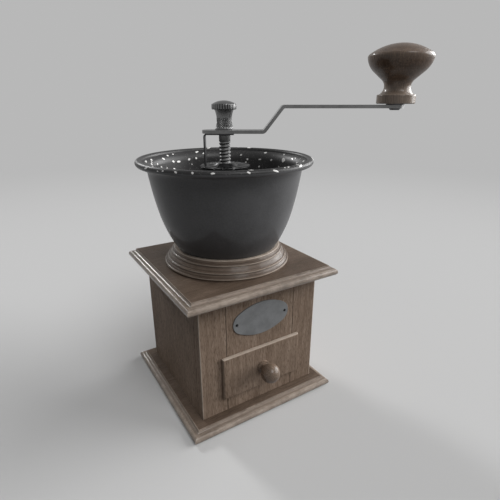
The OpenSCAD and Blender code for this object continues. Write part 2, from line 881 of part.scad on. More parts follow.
// Cone with slanting coarse teeth above and a belt of fine teeth at its foot
module inner_burr() {
    coarse_w = 3.2;
    fine_w = 1.1;
    belt_h = 7;
    slope = (burr_r - inner_waist_r) / (burr_waist_z - burr_foot_z);
    belt_r = burr_r - slope * belt_h;
    color(iron) difference() {
        rotate_extrude() polygon([
            [0, tail_top],
            [burr_r, tail_top],
            [burr_r, burr_foot_z],
            [inner_waist_r, burr_waist_z],
            [inner_top_r, burr_seat_z],
            [0, burr_seat_z]
        ]);
        difference() {
            cylinder(h = big, r = burr_bore_r + fit_gap);
            beyond_flat(burr_flat + fit_gap, 0, big);
        }
        for (k = [0:coarse_teeth - 1]) rotate([0, 0, 360 * k / coarse_teeth]) {
            tooth_groove(belt_r, burr_foot_z + belt_h, inner_top_r + 1, burr_seat_z, coarse_w, 22);
        }
        for (k = [0:fine_teeth - 1]) rotate([0, 0, 360 * (k + 0.5) / fine_teeth]) {
            tooth_groove(burr_r, tail_top, belt_r, burr_foot_z + belt_h, fine_w, 8);
        }
    }
}

module at_bearing_screws() {
    for (k = [0:2]) {
        rotate([0, 0, 120 * k + 90]) translate([bearing_screw_circle_r, 0, housing_z]) children();
    }
}

// Ring with three spokes and a hub for the spindle's lower end
module lower_bearing() {
    ring_z = housing_z - bearing_t;
    color(iron) difference() {
        union() {
            translate([0, 0, ring_z]) difference() {
                cylinder(h = bearing_t, r = housing_r);
                translate([0, 0, -1]) cylinder(h = bearing_t + 2, r = burr_rim_r);
            }
            translate([0, 0, bearing_hub_z]) cylinder(h = bearing_hub_t, r = bearing_hub_r);
            for (k = [0:2]) rotate([0, 0, 120 * k + 90]) {
                translate([0, -spoke_w / 2, ring_z]) cube([burr_seat_r, spoke_w, bearing_t]);
            }
        }
        translate([0, 0, bearing_hub_z - 1]) cylinder(h = bearing_hub_t + 2, r = tail_r + run_gap);
        at_bearing_screws() cylinder(h = 3 * bearing_t, r = bearing_screw_r + fit_gap, center = true);
    }
}

module bearing_screws() {
    head_t = 1.2;
    color(steel) at_bearing_screws() {
        translate([0, 0, -bearing_t]) cylinder(h = bearing_t + bearing_screw_l, r = bearing_screw_r);
        translate([0, 0, -bearing_t - head_t]) cylinder(h = head_t, r = 2 * bearing_screw_r);
    }
}

// ---- drawer ----

// Front plate with its outer edges rounded on all four sides
module lip_plate() {
    half_w = opening_w / 2 + lip_side;
    low = opening_z - lip_end;
    high = opening_top + lip_end;
    intersection() {
        linear_extrude(height = big) lip_section(-half_w, half_w);
        rotate([90, 0, 90]) linear_extrude(height = big, center = true) lip_end_section(low, high);
    }
}

// Seen from above: straight at the back, rounded at both front corners
module lip_section(left, right) {
    translate([left, lip_y + lip_round]) square([right - left, lip_t - lip_round]);
    translate([left + lip_round, lip_y]) square([right - left - 2 * lip_round, lip_t]);
    for (x = [left + lip_round, right - lip_round]) translate([x, lip_y + lip_round]) circle(lip_round);
}

// Seen from the side, Y across and Z up
module lip_end_section(low, high) {
    translate([lip_y + lip_round, low]) square([lip_t - lip_round, high - low]);
    translate([lip_y, low + lip_round]) square([lip_t, high - low - 2 * lip_round]);
    for (z = [low + lip_round, high - lip_round]) translate([lip_y + lip_round, z]) circle(lip_round);
}

// The panel that the drawer's floor slides in on, grown by gap for its groove
module floor_board(gap) {
    half_w = drawer_half - drawer_wall + groove_d;
    start = drawer_y + drawer_block - groove_d - gap;
    translate([-half_w - gap, start, floor_z - gap]) {
        cube([2 * (half_w + gap), drawer_back_y - drawer_wall - start, floor_t + 2 * gap]);
    }
}

module drawer_front() {
    block_y = lip_y + lip_round;
    color(wood) difference() {
        union() {
            lip_plate();
            translate([-drawer_half, block_y, drawer_z]) {
                cube([2 * drawer_half, drawer_y + drawer_block - block_y, drawer_top - drawer_z]);
            }
        }
        floor_board(fit_gap);
        translate([0, drawer_y, knob_z]) rotate([90, 0, 0]) {
            cylinder(h = big, r = knob_screw_r + fit_gap, center = true);
        }
    }
}

module drawer_side(side) {
    start = drawer_y + drawer_block;
    color(wood) difference() {
        translate([side * (drawer_half - drawer_wall / 2) - drawer_wall / 2, start, drawer_z]) {
            cube([drawer_wall, drawer_back_y - start, drawer_top - drawer_z]);
        }
        floor_board(fit_gap);
    }
}

module drawer_left_side() {
    drawer_side(-1);
}

module drawer_right_side() {
    drawer_side(1);
}

module drawer_back() {
    half_w = drawer_half - drawer_wall;
    color(wood) translate([-half_w, drawer_back_y - drawer_wall, drawer_z]) {
        cube([2 * half_w, drawer_wall, drawer_top - drawer_z]);
    }
}

module drawer_floor() {
    color(wood) floor_board(0);
}

// Ball on a short neck with a collar, turned about the drawer's front-to-back axis
module drawer_knob() {
    ball_z = lip_y - ball_y;
    color(dark_wood) translate([0, lip_y, knob_z]) rotate([90, 0, 0]) difference() {
        union() {
            cylinder(h = ball_collar_t, r1 = ball_collar_r, r2 = ball_collar_r - 0.5);
            cylinder(h = ball_z, r = ball_neck_r);
            translate([0, 0, ball_z]) sphere(ball_r);
        }
        translate([0, 0, -1]) cylinder(h = ball_z + 1, r = knob_screw_r + fit_gap);
    }
}

module drawer_knob_screw() {
    head_y = drawer_y + drawer_block;
    color(steel) translate([0, head_y, knob_z]) rotate([90, 0, 0]) {
        cylinder(h = head_y - ball_y - 1, r = knob_screw_r);
        translate([0, 0, -knob_screw_head_t]) cylinder(h = knob_screw_head_t, r = knob_screw_head_r);
    }
}

// ---- adjusting gear ----

// Everything beyond a flat on a round section, for the spindle and what is keyed to it
module beyond_flat(flat, low, high) {
    translate([flat, -big / 2, low]) cube([big, big, high - low]);
}

module beyond_key(gap, low, high) {
    rotate([0, 0, crank_angle + 90]) beyond_flat(key_flat + gap, low, high);
}

module keyed_washer() {
    color(steel) difference() {
        translate([0, 0, washer_z]) cylinder(h = washer_t, r = bush_flange_r);
        difference() {
            cylinder(h = big, r = spindle_r + run_gap);
            beyond_key(run_gap, 0, big);
        }
    }
}

module adjusting_disc() {
    groove_l = disc_r - disc_boss_r - 2;
    color(steel) difference() {
        union() {
            translate([0, 0, disc_z]) cylinder(h = disc_t, r = disc_r);
            translate([0, 0, disc_top]) cylinder(h = disc_boss_h, r1 = disc_boss_r + 1, r2 = disc_boss_r - 1);
        }
        translate([0, 0, disc_z - 1]) cylinder(h = disc_t + disc_boss_h + 2, r = spindle_r + run_gap);
        for (k = [0:disc_detents - 1]) {
            rotate([0, 0, crank_angle + 180 + 360 * k / disc_detents]) {
                translate([disc_r - groove_l, 0, disc_top + detent_groove_r - detent_groove_d]) {
                    rotate([0, 90, 0]) cylinder(h = groove_l + 1, r = detent_groove_r, $fn = 24);
                }
            }
        }
    }
}

// ---- spindle ----

// Half outline, stepped: tail, burr seat, thread at its outer size, stud
module spindle_section() {
    polygon([
        [0, tail_end],
        [tail_r, tail_end],
        [tail_r, tail_top],
        [burr_bore_r, tail_top],
        [burr_bore_r, burr_seat_z],
        [spindle_r, burr_seat_z],
        [spindle_r, crank_seat_z],
        [stud_r, crank_seat_z],
        [stud_r, stud_top],
        [0, stud_top]
    ]);
}

// The square for the crank starts a little inside the thread, so that the two are one piece
module spindle() {
    step_in = 1;
    square_l = strip_top - crank_seat_z + step_in;
    color(steel) difference() {
        union() {
            rotate_extrude() spindle_section();
            along_crank() translate([0, 0, strip_top - square_l / 2]) {
                cube([square_w, square_w, square_l], center = true);
            }
        }
        beyond_key(0, key_low, key_high);
        beyond_flat(burr_flat, tail_top - 1, burr_seat_z);
        at_collar_pin() cylinder(h = big, r = collar_pin_r + fit_gap, center = true);
    }
}

module at_collar_pin() {
    translate([0, 0, collar_top - collar_h / 2]) along_crank() rotate([0, 90, 0]) children();
}

module spring_collar() {
    color(steel) difference() {
        translate([0, 0, collar_top - collar_h]) cylinder(h = collar_h, r = collar_r);
        translate([0, 0, collar_top - collar_h - 1]) cylinder(h = collar_h + 2, r = spindle_r + fit_gap);
        at_collar_pin() cylinder(h = big, r = collar_pin_r + fit_gap, center = true);
    }
}

module collar_pin() {
    color(steel) at_collar_pin() cylinder(h = 2 * collar_r, r = collar_pin_r, center = true);
}

module burr_nut() {
    color(steel) translate([0, 0, tail_top - burr_nut_t]) difference() {
        cylinder(h = burr_nut_t, r = burr_nut_r, $fn = 6);
        translate([0, 0, -1]) cylinder(h = burr_nut_t + 2, r = tail_r + fit_gap);
    }
}

// ---- crank ----

module square_hole(z, height) {
    hole = square_w + 2 * fit_gap;
    translate([-hole / 2, -hole / 2, z]) cube([hole, hole, height]);
}

// Leaf spring clamped under the arm, its tongue bent down to the adjusting disc
module detent_spring() {
    bend_u = -(detent_reach + detent_t / 2 - detent_bend_r - detent_t);
    bend_z = crank_seat_z - detent_bend_r;
    tongue_u = -(detent_reach + detent_t / 2);
    color(steel) along_crank() difference() {
        run_along_y(detent_w) {
            translate([bend_u, crank_seat_z]) square([detent_clamp - bend_u, detent_t]);
            arc_band([bend_u, bend_z], detent_bend_r, detent_bend_r + detent_t, 90, 180);
            translate([tongue_u, detent_low_z]) square([detent_t, bend_z - detent_low_z]);
        }
        square_hole(crank_seat_z - 1, detent_t + 2);
    }
}

// Side view of the bent strip: its under side outwards, then its upper side back
module crank_section() {
    steps = 12;
    outer = bend_r + strip_t;
    far_u = crank_reach + strip_w;
    polygon(concat(
        [[-tail_l, strip_z]],
        arc_points(bend_low_c, outer, -90, -90 + rise_slope, steps),
        arc_points(bend_high_c, bend_r, 90 + rise_slope, 90, steps),
        [[far_u, upper_z], [far_u, upper_top]],
        arc_points(bend_high_c, outer, 90, 90 + rise_slope, steps),
        arc_points(bend_low_c, bend_r, -90 + rise_slope, -90, steps),
        [[-tail_l, strip_top]]
    ));
}

// Plan of the strip, with round ends
module crank_plan() {
    translate([-tail_l + strip_w / 2, -strip_w / 2]) square([crank_reach + tail_l - strip_w / 2, strip_w]);
    translate([-tail_l + strip_w / 2, 0]) circle(strip_w / 2);
    translate([crank_reach, 0]) circle(strip_w / 2);
}

module crank_arm() {
    color(steel) along_crank() difference() {
        intersection() {
            run_along_y(2 * strip_w) crank_section();
            translate([0, 0, strip_z - 1]) linear_extrude(height = crank_rise + strip_t + 2) crank_plan();
        }
        square_hole(strip_z - 1, strip_t + 2);
        translate([crank_reach, 0, upper_z - 1]) cylinder(h = strip_t + 2, r = pin_r + fit_gap);
    }
}

module knob_pin() {
    color(steel) along_crank() translate([crank_reach, 0, 0]) {
        translate([0, 0, upper_z]) cylinder(h = pin_head_z - upper_z, r = pin_r);
        translate([0, 0, upper_z - rivet_t]) cylinder(h = rivet_t, r1 = rivet_r - 1, r2 = rivet_r);
        translate([0, 0, pin_head_z]) difference() {
            cylinder(h = pin_head_t, r = pin_head_r);
            driver_slot(pin_head_t);
        }
    }
}

module knob_washer() {
    color(steel) along_crank() translate([crank_reach, 0, upper_top]) difference() {
        cylinder(h = knob_washer_t, r = knob_washer_r);
        translate([0, 0, -1]) cylinder(h = knob_washer_t + 2, r = pin_r + fit_gap);
    }
}

// Half of the mushroom's outline: foot, hollow neck, swelling underside, round edge and dome
module knob_section() {
    dome_end = edge_c + edge_r * [cos(dome_lean), sin(dome_lean)];
    foot_round = 0.7;
    foot_top = knob_foot_z + foot_t;
    translate([0, knob_foot_z]) square([foot_r - foot_round, foot_t]);
    translate([0, knob_foot_z + foot_round]) square([foot_r, foot_t - 2 * foot_round]);
    for (z = [knob_foot_z + foot_round, foot_top - foot_round]) {
        translate([foot_r - foot_round, z]) circle(foot_round);
    }
    difference() {
        polygon([
            [0, foot_top - 1],
            [foot_r - foot_round, foot_top - 1],
            [foot_r - foot_round, neck_z],
            neck_c,
            flank_low,
            flank_top,
            edge_c + edge_r * [cos(brow), -sin(brow)],
            edge_c,
            dome_end,
            [0, dome_end[1]]
        ]);
        translate(neck_c) circle(neck_arc);
    }
    translate(edge_c) circle(edge_r);
    arc_band(flank_c, 1, flank_arc, -flank, -brow);
    intersection() {
        translate(dome_c) circle(dome_r);
        translate([0, dome_end[1]]) square([big, big]);
    }
}

module crank_knob() {
    color(dark_wood) along_crank() translate([crank_reach, 0, 0]) difference() {
        rotate_extrude() knob_section();
        translate([0, 0, knob_foot_z - 1]) cylinder(h = knob_h, r = pin_r + run_gap);
        translate([0, 0, pin_head_z - seat_gap]) cylinder(h = knob_h, r = pin_head_r + seat_gap);
    }
}

// ---- knurled nut ----

module nut_washer() {
    color(steel) translate([0, 0, strip_top]) difference() {
        cylinder(h = nut_washer_t - turn_gap, r = nut_washer_r);
        translate([0, 0, -1]) cylinder(h = nut_washer_t + 2, r = stud_r + run_gap);
    }
}

// Half outline: foot, hollow waist, straight knurled rim and a low dome
module nut_section() {
    difference() {
        translate([0, nut_z]) square([nut_under_r, nut_rim_z - nut_z]);
        translate([nut_waist_r + nut_arc, nut_waist_z]) circle(nut_arc);
        translate([nut_foot_r, nut_z - 1]) square([big, nut_waist_z - nut_z + 1]);
    }
    translate([0, nut_rim_z]) square([nut_head_r, nut_dome_z - nut_rim_z]);
    intersection() {
        translate([0, nut_top - nut_dome_r]) circle(nut_dome_r);
        translate([0, nut_dome_z]) square([big, big]);
    }
}

module knurled_nut() {
    rib_w = 0.9;
    color(steel) difference() {
        rotate_extrude() nut_section();
        translate([0, 0, nut_z - 1]) cylinder(h = nut_bore_top - nut_z + 1, r = stud_r + run_gap);
        for (k = [0:knurl_ribs - 1]) rotate([0, 0, 360 * k / knurl_ribs]) {
            translate([nut_head_r + 0.1, 0, nut_rim_z]) rotate([0, 0, 45]) {
                cube([rib_w, rib_w, 2 * nut_head_h], center = true);
            }
        }
    }
}

base_board();
left_side();
right_side();
back_panel();
left_stile();
right_stile();
upper_front_panel();
lower_rail();
top_board();
box_dowels();
base_screws();
left_runner();
right_runner();
blank_plate();
plate_pins();
turned_ring();
hopper_bowl();
hopper_bolts();
bridge();
bridge_bush();
spindle_spring();
burr_housing();
outer_burr();
lower_bearing();
bearing_screws();
drawer_front();
drawer_left_side();
drawer_right_side();
drawer_back();
drawer_floor();
drawer_knob();
drawer_knob_screw();
keyed_washer();
adjusting_disc();
spindle();
spring_collar();
collar_pin();
inner_burr();
burr_nut();
detent_spring();
crank_arm();
knob_pin();
knob_washer();
nut_washer();
knurled_nut();
crank_knob();
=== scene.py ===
import json
import random
from math import acos, asin, atan2, cos, degrees, hypot, pi, radians, sin, sqrt

import bmesh
import bpy
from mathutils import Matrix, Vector

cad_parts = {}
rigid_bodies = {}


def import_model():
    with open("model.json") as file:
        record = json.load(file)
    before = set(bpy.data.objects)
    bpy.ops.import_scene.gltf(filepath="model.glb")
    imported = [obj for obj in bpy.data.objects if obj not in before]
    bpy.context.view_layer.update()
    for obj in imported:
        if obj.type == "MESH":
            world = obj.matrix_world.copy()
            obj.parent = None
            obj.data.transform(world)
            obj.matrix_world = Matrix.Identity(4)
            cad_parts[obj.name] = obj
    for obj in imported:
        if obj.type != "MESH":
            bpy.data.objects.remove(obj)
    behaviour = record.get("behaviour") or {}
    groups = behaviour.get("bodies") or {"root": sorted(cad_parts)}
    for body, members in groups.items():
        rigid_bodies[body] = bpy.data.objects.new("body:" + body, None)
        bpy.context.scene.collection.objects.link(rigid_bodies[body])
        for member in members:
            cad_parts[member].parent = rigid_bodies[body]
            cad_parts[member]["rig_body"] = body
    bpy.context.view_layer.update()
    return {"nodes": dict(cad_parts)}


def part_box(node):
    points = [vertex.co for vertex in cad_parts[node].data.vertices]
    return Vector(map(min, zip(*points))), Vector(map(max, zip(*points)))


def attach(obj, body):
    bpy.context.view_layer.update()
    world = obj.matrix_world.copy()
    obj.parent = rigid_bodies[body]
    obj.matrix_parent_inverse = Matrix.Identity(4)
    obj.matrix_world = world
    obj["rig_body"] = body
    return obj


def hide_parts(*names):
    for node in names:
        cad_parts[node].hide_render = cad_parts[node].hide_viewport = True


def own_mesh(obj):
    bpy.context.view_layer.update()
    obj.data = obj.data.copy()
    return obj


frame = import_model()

mm = 0.001
nodes = frame["nodes"]
print("frame loaded:", len(nodes), "CAD pieces")


# helpers for meshes

def arc(centre, radius, start, end, steps):
    # points along an arc, angles in degrees
    angles = [radians(start + (end - start) * i / steps) for i in range(steps + 1)]
    return [(centre[0] + radius * cos(a), centre[1] + radius * sin(a)) for a in angles]


def turnedMesh(outline, segments, loop=False, shift=None, centre=(0, 0)):
    # spins an outline of (radius, height) points; shift moves a point by its angle
    verts = []
    rows = []
    for index, (r, z) in enumerate(outline):
        if r < 1e-7:
            rows.append([len(verts)] * segments)
            verts.append((centre[0], centre[1], z))
            continue
        rows.append(list(range(len(verts), len(verts) + segments)))
        for k in range(segments):
            a = 2 * pi * k / segments
            x, y = (r * cos(a), r * sin(a)) if shift is None else shift(index, r, z, a)
            verts.append((centre[0] + x, centre[1] + y, z))
    faces = []
    pairs = list(zip(rows, rows[1:]))
    if loop:
        pairs.append((rows[-1], rows[0]))
    for low, high in pairs:
        for k in range(segments):
            n = (k + 1) % segments
            corner = [low[k], low[n], high[n], high[k]]
            face = [v for i, v in enumerate(corner) if v != corner[i - 1]]
            if len(face) > 2:
                faces.append(face)
    return verts, faces


def finishMesh(obj, sharpAngle=35):
    obj.data.shade_smooth()
    obj.data.set_sharp_from_angle(angle=radians(sharpAngle))


def newPiece(name, verts, faces, body, material, sharpAngle=35):
    mesh = bpy.data.meshes.new(name)
    mesh.from_pydata(verts, [], faces)
    mesh.update()
    obj = bpy.data.objects.new(name, mesh)
    bpy.context.scene.collection.objects.link(obj)
    mesh.materials.append(material)
    finishMesh(obj, sharpAngle)
    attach(obj, body)
    return obj


def camel(name):
    words = name.split("_")
    return words[0] + "".join(word.capitalize() for word in words[1:])


# helpers for materials

def newMaterial(name):
    mat = bpy.data.materials.new(name)
    mat.use_nodes = True
    return mat, mat.node_tree.nodes["Principled BSDF"]


def addNode(mat, kind, inputs=None, **settings):
    node = mat.node_tree.nodes.new(kind)
    for key, value in settings.items():
        setattr(node, key, value)
    for key, value in (inputs or {}).items():
        if isinstance(value, bpy.types.NodeSocket):
            mat.node_tree.links.new(value, node.inputs[key])
        else:
            node.inputs[key].default_value = value
    return node


def connect(mat, output, socket):
    mat.node_tree.links.new(output, socket)


def calc(mat, operation, a, b=0.0):
    return addNode(mat, "ShaderNodeMath", {0: a, 1: b}, operation=operation).outputs[0]


def spread(mat, value, low, high, toLow=0.0, toHigh=1.0):
    # remaps low..high to toLow..toHigh with soft ends
    inputs = {"Value": value, "From Min": low, "From Max": high, "To Min": toLow, "To Max": toHigh}
    node = addNode(mat, "ShaderNodeMapRange", inputs, interpolation_type="SMOOTHSTEP")
    return node.outputs["Result"]


def away(mat, value, target):
    # distance between a value and a target
    return calc(mat, "ABSOLUTE", calc(mat, "SUBTRACT", value, target))


def nearest(mat, value, targets):
    # distance to the nearest of several targets
    near = away(mat, value, targets[0])
    for target in targets[1:]:
        near = calc(mat, "MINIMUM", near, away(mat, value, target))
    return near


def mixColour(mat, factor, a, b):
    node = addNode(mat, "ShaderNodeMix", data_type="RGBA")
    for socket, value in ((node.inputs[0], factor), (node.inputs[6], a), (node.inputs[7], b)):
        if isinstance(value, bpy.types.NodeSocket):
            connect(mat, value, socket)
        else:
            socket.default_value = value if isinstance(value, float) else (*value, 1.0)
    return node.outputs[2]


def noise(mat, vector, scale, detail=2.0, roughness=0.5, distortion=0.0):
    inputs = {"Vector": vector, "Scale": scale, "Detail": detail}
    inputs.update({"Roughness": roughness, "Distortion": distortion})
    return addNode(mat, "ShaderNodeTexNoise", inputs).outputs["Fac"]


def objectPlace(mat):
    return addNode(mat, "ShaderNodeTexCoord").outputs["Object"]


def stretched(mat, stretch=(1, 1, 1), shift=(0, 0, 0), place=None):
    inputs = {"Vector": place or objectPlace(mat), "Location": shift, "Scale": stretch}
    return addNode(mat, "ShaderNodeMapping", inputs).outputs["Vector"]


def splitPlace(mat):
    split = addNode(mat, "ShaderNodeSeparateXYZ", {"Vector": objectPlace(mat)})
    return split.outputs["X"], split.outputs["Y"], split.outputs["Z"]


def turnedPlace(mat, meanRadius):
    # unrolls a turned piece: distance round it, radius, height
    x, y, z = splitPlace(mat)
    around = calc(mat, "MULTIPLY", calc(mat, "ARCTAN2", y, x), meanRadius)
    squares = calc(mat, "ADD", calc(mat, "MULTIPLY", x, x), calc(mat, "MULTIPLY", y, y))
    radius = calc(mat, "SQRT", squares)
    return addNode(mat, "ShaderNodeCombineXYZ", {0: around, 1: radius, 2: z}).outputs[0]


def bump(mat, bsdf, height, distance, strength=1.0):
    inputs = {"Height": height, "Distance": distance, "Strength": strength}
    node = addNode(mat, "ShaderNodeBump", inputs)
    connect(mat, node.outputs["Normal"], bsdf.inputs["Normal"])


# wood; colours are linear

boxStain = {
    "dark": (0.145, 0.102, 0.073),
    "middle": (0.215, 0.156, 0.116),
    "light": (0.300, 0.228, 0.176),
    "pore": (0.070, 0.047, 0.033),
    # pale colour for worn places and for painted highlights
    "worn": (0.44, 0.37, 0.31),
    "fibreScale": 2100, "fibreStretch": 14,
    "poreScale": 2000, "poreStretch": 6.5, "poreAmount": 0.5,
    "streakScale": 480, "streakStretch": 16,
    "cloudScale": 45, "cloudStretch": 2.2,
    "shares": (0.40, 0.30, 0.30),      # of fibres, streaks and clouds in the tone
    "turnedLines": 0.0,
    "roughness": 0.58,
    "specular": 0.12,
    "poreDepth": 0.10 * mm,
    "coat": 0.0, "coatRoughness": 0.3,
}
mouldingStain = dict(boxStain, **{
    "dark": (0.076, 0.053, 0.038),
    "middle": (0.112, 0.080, 0.059),
    "light": (0.158, 0.116, 0.088),
    "poreAmount": 0.45,
    "roughness": 0.42,
    "specular": 0.13,
    "poreDepth": 0.05 * mm,
})
rubbedStain = dict(mouldingStain, **{
    "roughness": 0.38,
    "specular": 0.2,
    "coat": 0.5, "coatRoughness": 0.12,
})
ringStain = dict(mouldingStain, **{
    "middle": (0.135, 0.098, 0.073),
    "turnedLines": 0.25,
    "roughness": 0.42,
    "specular": 0.2,
    "coat": 0.16, "coatRoughness": 0.14,
})
knobStain = dict(boxStain, **{
    "dark": (0.066, 0.040, 0.025),
    "middle": (0.118, 0.074, 0.048),
    "light": (0.205, 0.135, 0.090),
    "poreAmount": 0.8,
    "turnedLines": 0.3,
    "roughness": 0.42,
    "specular": 0.1,
    "poreDepth": 0.05 * mm,
    "coat": 0.45, "coatRoughness": 0.17,
})
drawerWood = dict(boxStain, **{
    "dark": (0.17, 0.12, 0.078),
    "middle": (0.26, 0.19, 0.13),
    "light": (0.34, 0.26, 0.18),
    "pore": (0.09, 0.06, 0.04),
    "roughness": 0.62,
})


def woodMaterial(name, look, grain, shift, wearAndHighlight=None, turnedRadius=None, jointDirtAndHollowShade=None, latheAxis="Z"):
    mat, bsdf = newMaterial(name)
    place = turnedPlace(mat, turnedRadius) if turnedRadius else None

    def along(factor):
        return stretched(mat, [1 / factor if axis == grain else 1.0 for axis in "XYZ"], shift, place)

    fibres = noise(mat, along(look["fibreStretch"]), look["fibreScale"], 3.0, 0.6)
    streaks = noise(mat, along(look["streakStretch"]), look["streakScale"], 3.0, 0.6)
    clouds = noise(mat, along(look["cloudStretch"]), look["cloudScale"], 3.0, 0.55, 0.4)
    pores = noise(mat, along(look["poreStretch"]), look["poreScale"], 1.0, 0.4)
    poreMask = spread(mat, pores, 0.55, 0.68)
    paleMask = spread(mat, pores, 0.44, 0.32)
    tone = calc(mat, "MULTIPLY", fibres, look["shares"][0])
    tone = calc(mat, "ADD", tone, calc(mat, "MULTIPLY", streaks, look["shares"][1]))
    tone = calc(mat, "ADD", tone, calc(mat, "MULTIPLY", clouds, look["shares"][2]))
    colour = mixColour(mat, spread(mat, tone, 0.38, 0.51), look["dark"], look["middle"])
    colour = mixColour(mat, spread(mat, tone, 0.49, 0.62), colour, look["light"])
    # pale grain between the pores, then the pores
    paleAmount = calc(mat, "MULTIPLY", paleMask, 0.45 * look["poreAmount"])
    colour = mixColour(mat, paleAmount, colour, look["light"])
    poreAmount = calc(mat, "MULTIPLY", poreMask, look["poreAmount"])
    colour = mixColour(mat, poreAmount, colour, look["pore"])
    if look["turnedLines"]:
        # fine rings left by the lathe
        lathe = stretched(mat, [1.0 if axis == latheAxis else 0.01 for axis in "XYZ"])
        rings = spread(mat, noise(mat, lathe, 1500, 1.0, 0.5), 0.5, 0.62)
        darker = tuple(c * 0.45 for c in look["middle"])
        colour = mixColour(mat, calc(mat, "MULTIPLY", rings, look["turnedLines"]), colour, darker)
    rough = spread(mat, streaks, 0.3, 0.7, look["roughness"] - 0.05, look["roughness"] + 0.07)
    rough = calc(mat, "ADD", rough, calc(mat, "MULTIPLY", poreMask, 0.1))
    if wearAndHighlight:
        # worn places, and places with a painted highlight, are paler and rubbed smooth
        rub = wearAndHighlight(mat, fibres)
        colour = mixColour(mat, rub, colour, look["worn"])
        rough = calc(mat, "SUBTRACT", rough, calc(mat, "MULTIPLY", rub, 0.12))
    # dark lines: dirt in the joints, painted shade in the ring's hollows
    if jointDirtAndHollowShade:
        colour = mixColour(mat, jointDirtAndHollowShade(mat), colour, tuple(c * 0.5 for c in look["pore"]))
    connect(mat, colour, bsdf.inputs["Base Color"])
    connect(mat, rough, bsdf.inputs["Roughness"])
    bsdf.inputs["Specular IOR Level"].default_value = look["specular"]
    bsdf.inputs["Coat Weight"].default_value = look["coat"]
    bsdf.inputs["Coat Roughness"].default_value = look["coatRoughness"]
    height = calc(mat, "SUBTRACT", calc(mat, "MULTIPLY", fibres, 0.3), poreMask)
    bump(mat, bsdf, height, look["poreDepth"])
    return mat


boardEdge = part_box("base_board")[1].x
boardWearAndHighlightPlaces = {  # places of the worn stretches and the painted highlight line, inwards from the board's edge
    "nose": (3.2 * mm, 2.2 * mm),
    "cove": (5.0 * mm, 4.5 * mm), "covePale": 0.4,
    "corner": 5.0 * mm, "cornerWidth": (0.65 * mm, 0.15 * mm),
}


def boardWearAndHighlight(mat, fibres):
    # the nose is rubbed pale, and the corner above the cove is rubbed pale with a painted highlight
    # line
    x, y, _ = splitPlace(mat)
    across = calc(mat, "MAXIMUM", calc(mat, "ABSOLUTE", x), calc(mat, "ABSOLUTE", y))
    patches = noise(mat, stretched(mat, (1, 1, 0.5)), 95, 3.0, 0.6)
    covePlace = [boardEdge - place for place in boardWearAndHighlightPlaces["cove"]]
    cove = spread(mat, across, *covePlace, 0.0, boardWearAndHighlightPlaces["covePale"])
    nosePlace = [boardEdge - place for place in boardWearAndHighlightPlaces["nose"]]
    nose = spread(mat, across, *nosePlace)
    nose = calc(mat, "MULTIPLY", nose, spread(mat, patches, 0.36, 0.62, 0.45, 0.8))
    nose = calc(mat, "MAXIMUM", nose, cove)
    corner = spread(mat, away(mat, across, boardEdge - boardWearAndHighlightPlaces["corner"]), *boardWearAndHighlightPlaces["cornerWidth"])
    corner = calc(mat, "MULTIPLY", corner, spread(mat, patches, 0.30, 0.55, 0.25, 0.6))
    grainy = spread(mat, fibres, 0.3, 0.7, 0.6, 1.0)
    return calc(mat, "MULTIPLY", calc(mat, "MAXIMUM", nose, corner), grainy)


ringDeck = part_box("turned_ring")[0].z
ringShape = {  # heights above the top board
    "edges": (1.6 * mm, 4.95 * mm, 9.25 * mm, 12.3 * mm),
    "edgeWidth": (0.48 * mm, 0.12 * mm),
    "hollows": (2.75 * mm, 4.1 * mm, 6.2 * mm, 8.3 * mm, 10.5 * mm),
    # the hollows hold a painted shade line, this wide and this dark
    "hollowWidth": (0.42 * mm, 0.1 * mm), "dirt": 0.6,
}


def ringWearAndHighlight(mat, fibres):
    # a pale line along the foremost edge of each bead, partly wear and partly a painted highlight
    z = splitPlace(mat)[2]
    near = nearest(mat, z, [ringDeck + height for height in ringShape["edges"]])
    patches = spread(mat, noise(mat, stretched(mat), 70, 3.0, 0.6), 0.33, 0.55, 0.5, 0.95)
    return calc(mat, "MULTIPLY", spread(mat, near, *ringShape["edgeWidth"]), patches)


def ringHollowShade(mat):
    # painted shade: dark lines in the hollows beside the beads
    z = splitPlace(mat)[2]
    near = nearest(mat, z, [ringDeck + height for height in ringShape["hollows"]])
    return calc(mat, "MULTIPLY", spread(mat, near, *ringShape["hollowWidth"]), ringShape["dirt"])


cornerRub = {"start": 1.0 * mm, "end": 0.5 * mm, "pale": 0.75}      # inwards from the box's side


def cornerWear(mat, fibres):
    # a thin pale line down the box's upright corners
    x, y, _ = splitPlace(mat)
    corner = calc(mat, "MINIMUM", calc(mat, "ABSOLUTE", x), calc(mat, "ABSOLUTE", y))
    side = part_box("right_side")[1].x
    patches = spread(mat, noise(mat, stretched(mat, (1, 1, 0.4)), 120, 3.0, 0.6), 0.32, 0.5)
    rub = spread(mat, corner, side - cornerRub["start"], side - cornerRub["end"])
    return calc(mat, "MULTIPLY", calc(mat, "MULTIPLY", rub, patches), cornerRub["pale"])


seamLook = {
    "width": (0.42 * mm, 0.12 * mm), "amount": 0.8,
    "depth": (1.5 * mm, 1.0 * mm),      # inwards from the panel's face
}


def seamDirt(mat):
    # dirt in the joints between stiles and panel
    x, y, _ = splitPlace(mat)
    low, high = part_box("upper_front_panel")
    front = spread(mat, y, *(low.y + depth for depth in seamLook["depth"]))
    line = spread(mat, away(mat, calc(mat, "ABSOLUTE", x), high.x), *seamLook["width"])
    return calc(mat, "MULTIPLY", calc(mat, "MULTIPLY", line, front), seamLook["amount"])


drawerWearAndHighlightPlaces = {  # inwards from the drawer front's edges
    "top": (0.9 * mm, 0.4 * mm), "topPale": 0.95,
    "side": (0.7 * mm, 0.2 * mm), "sidePale": 0.3,
}


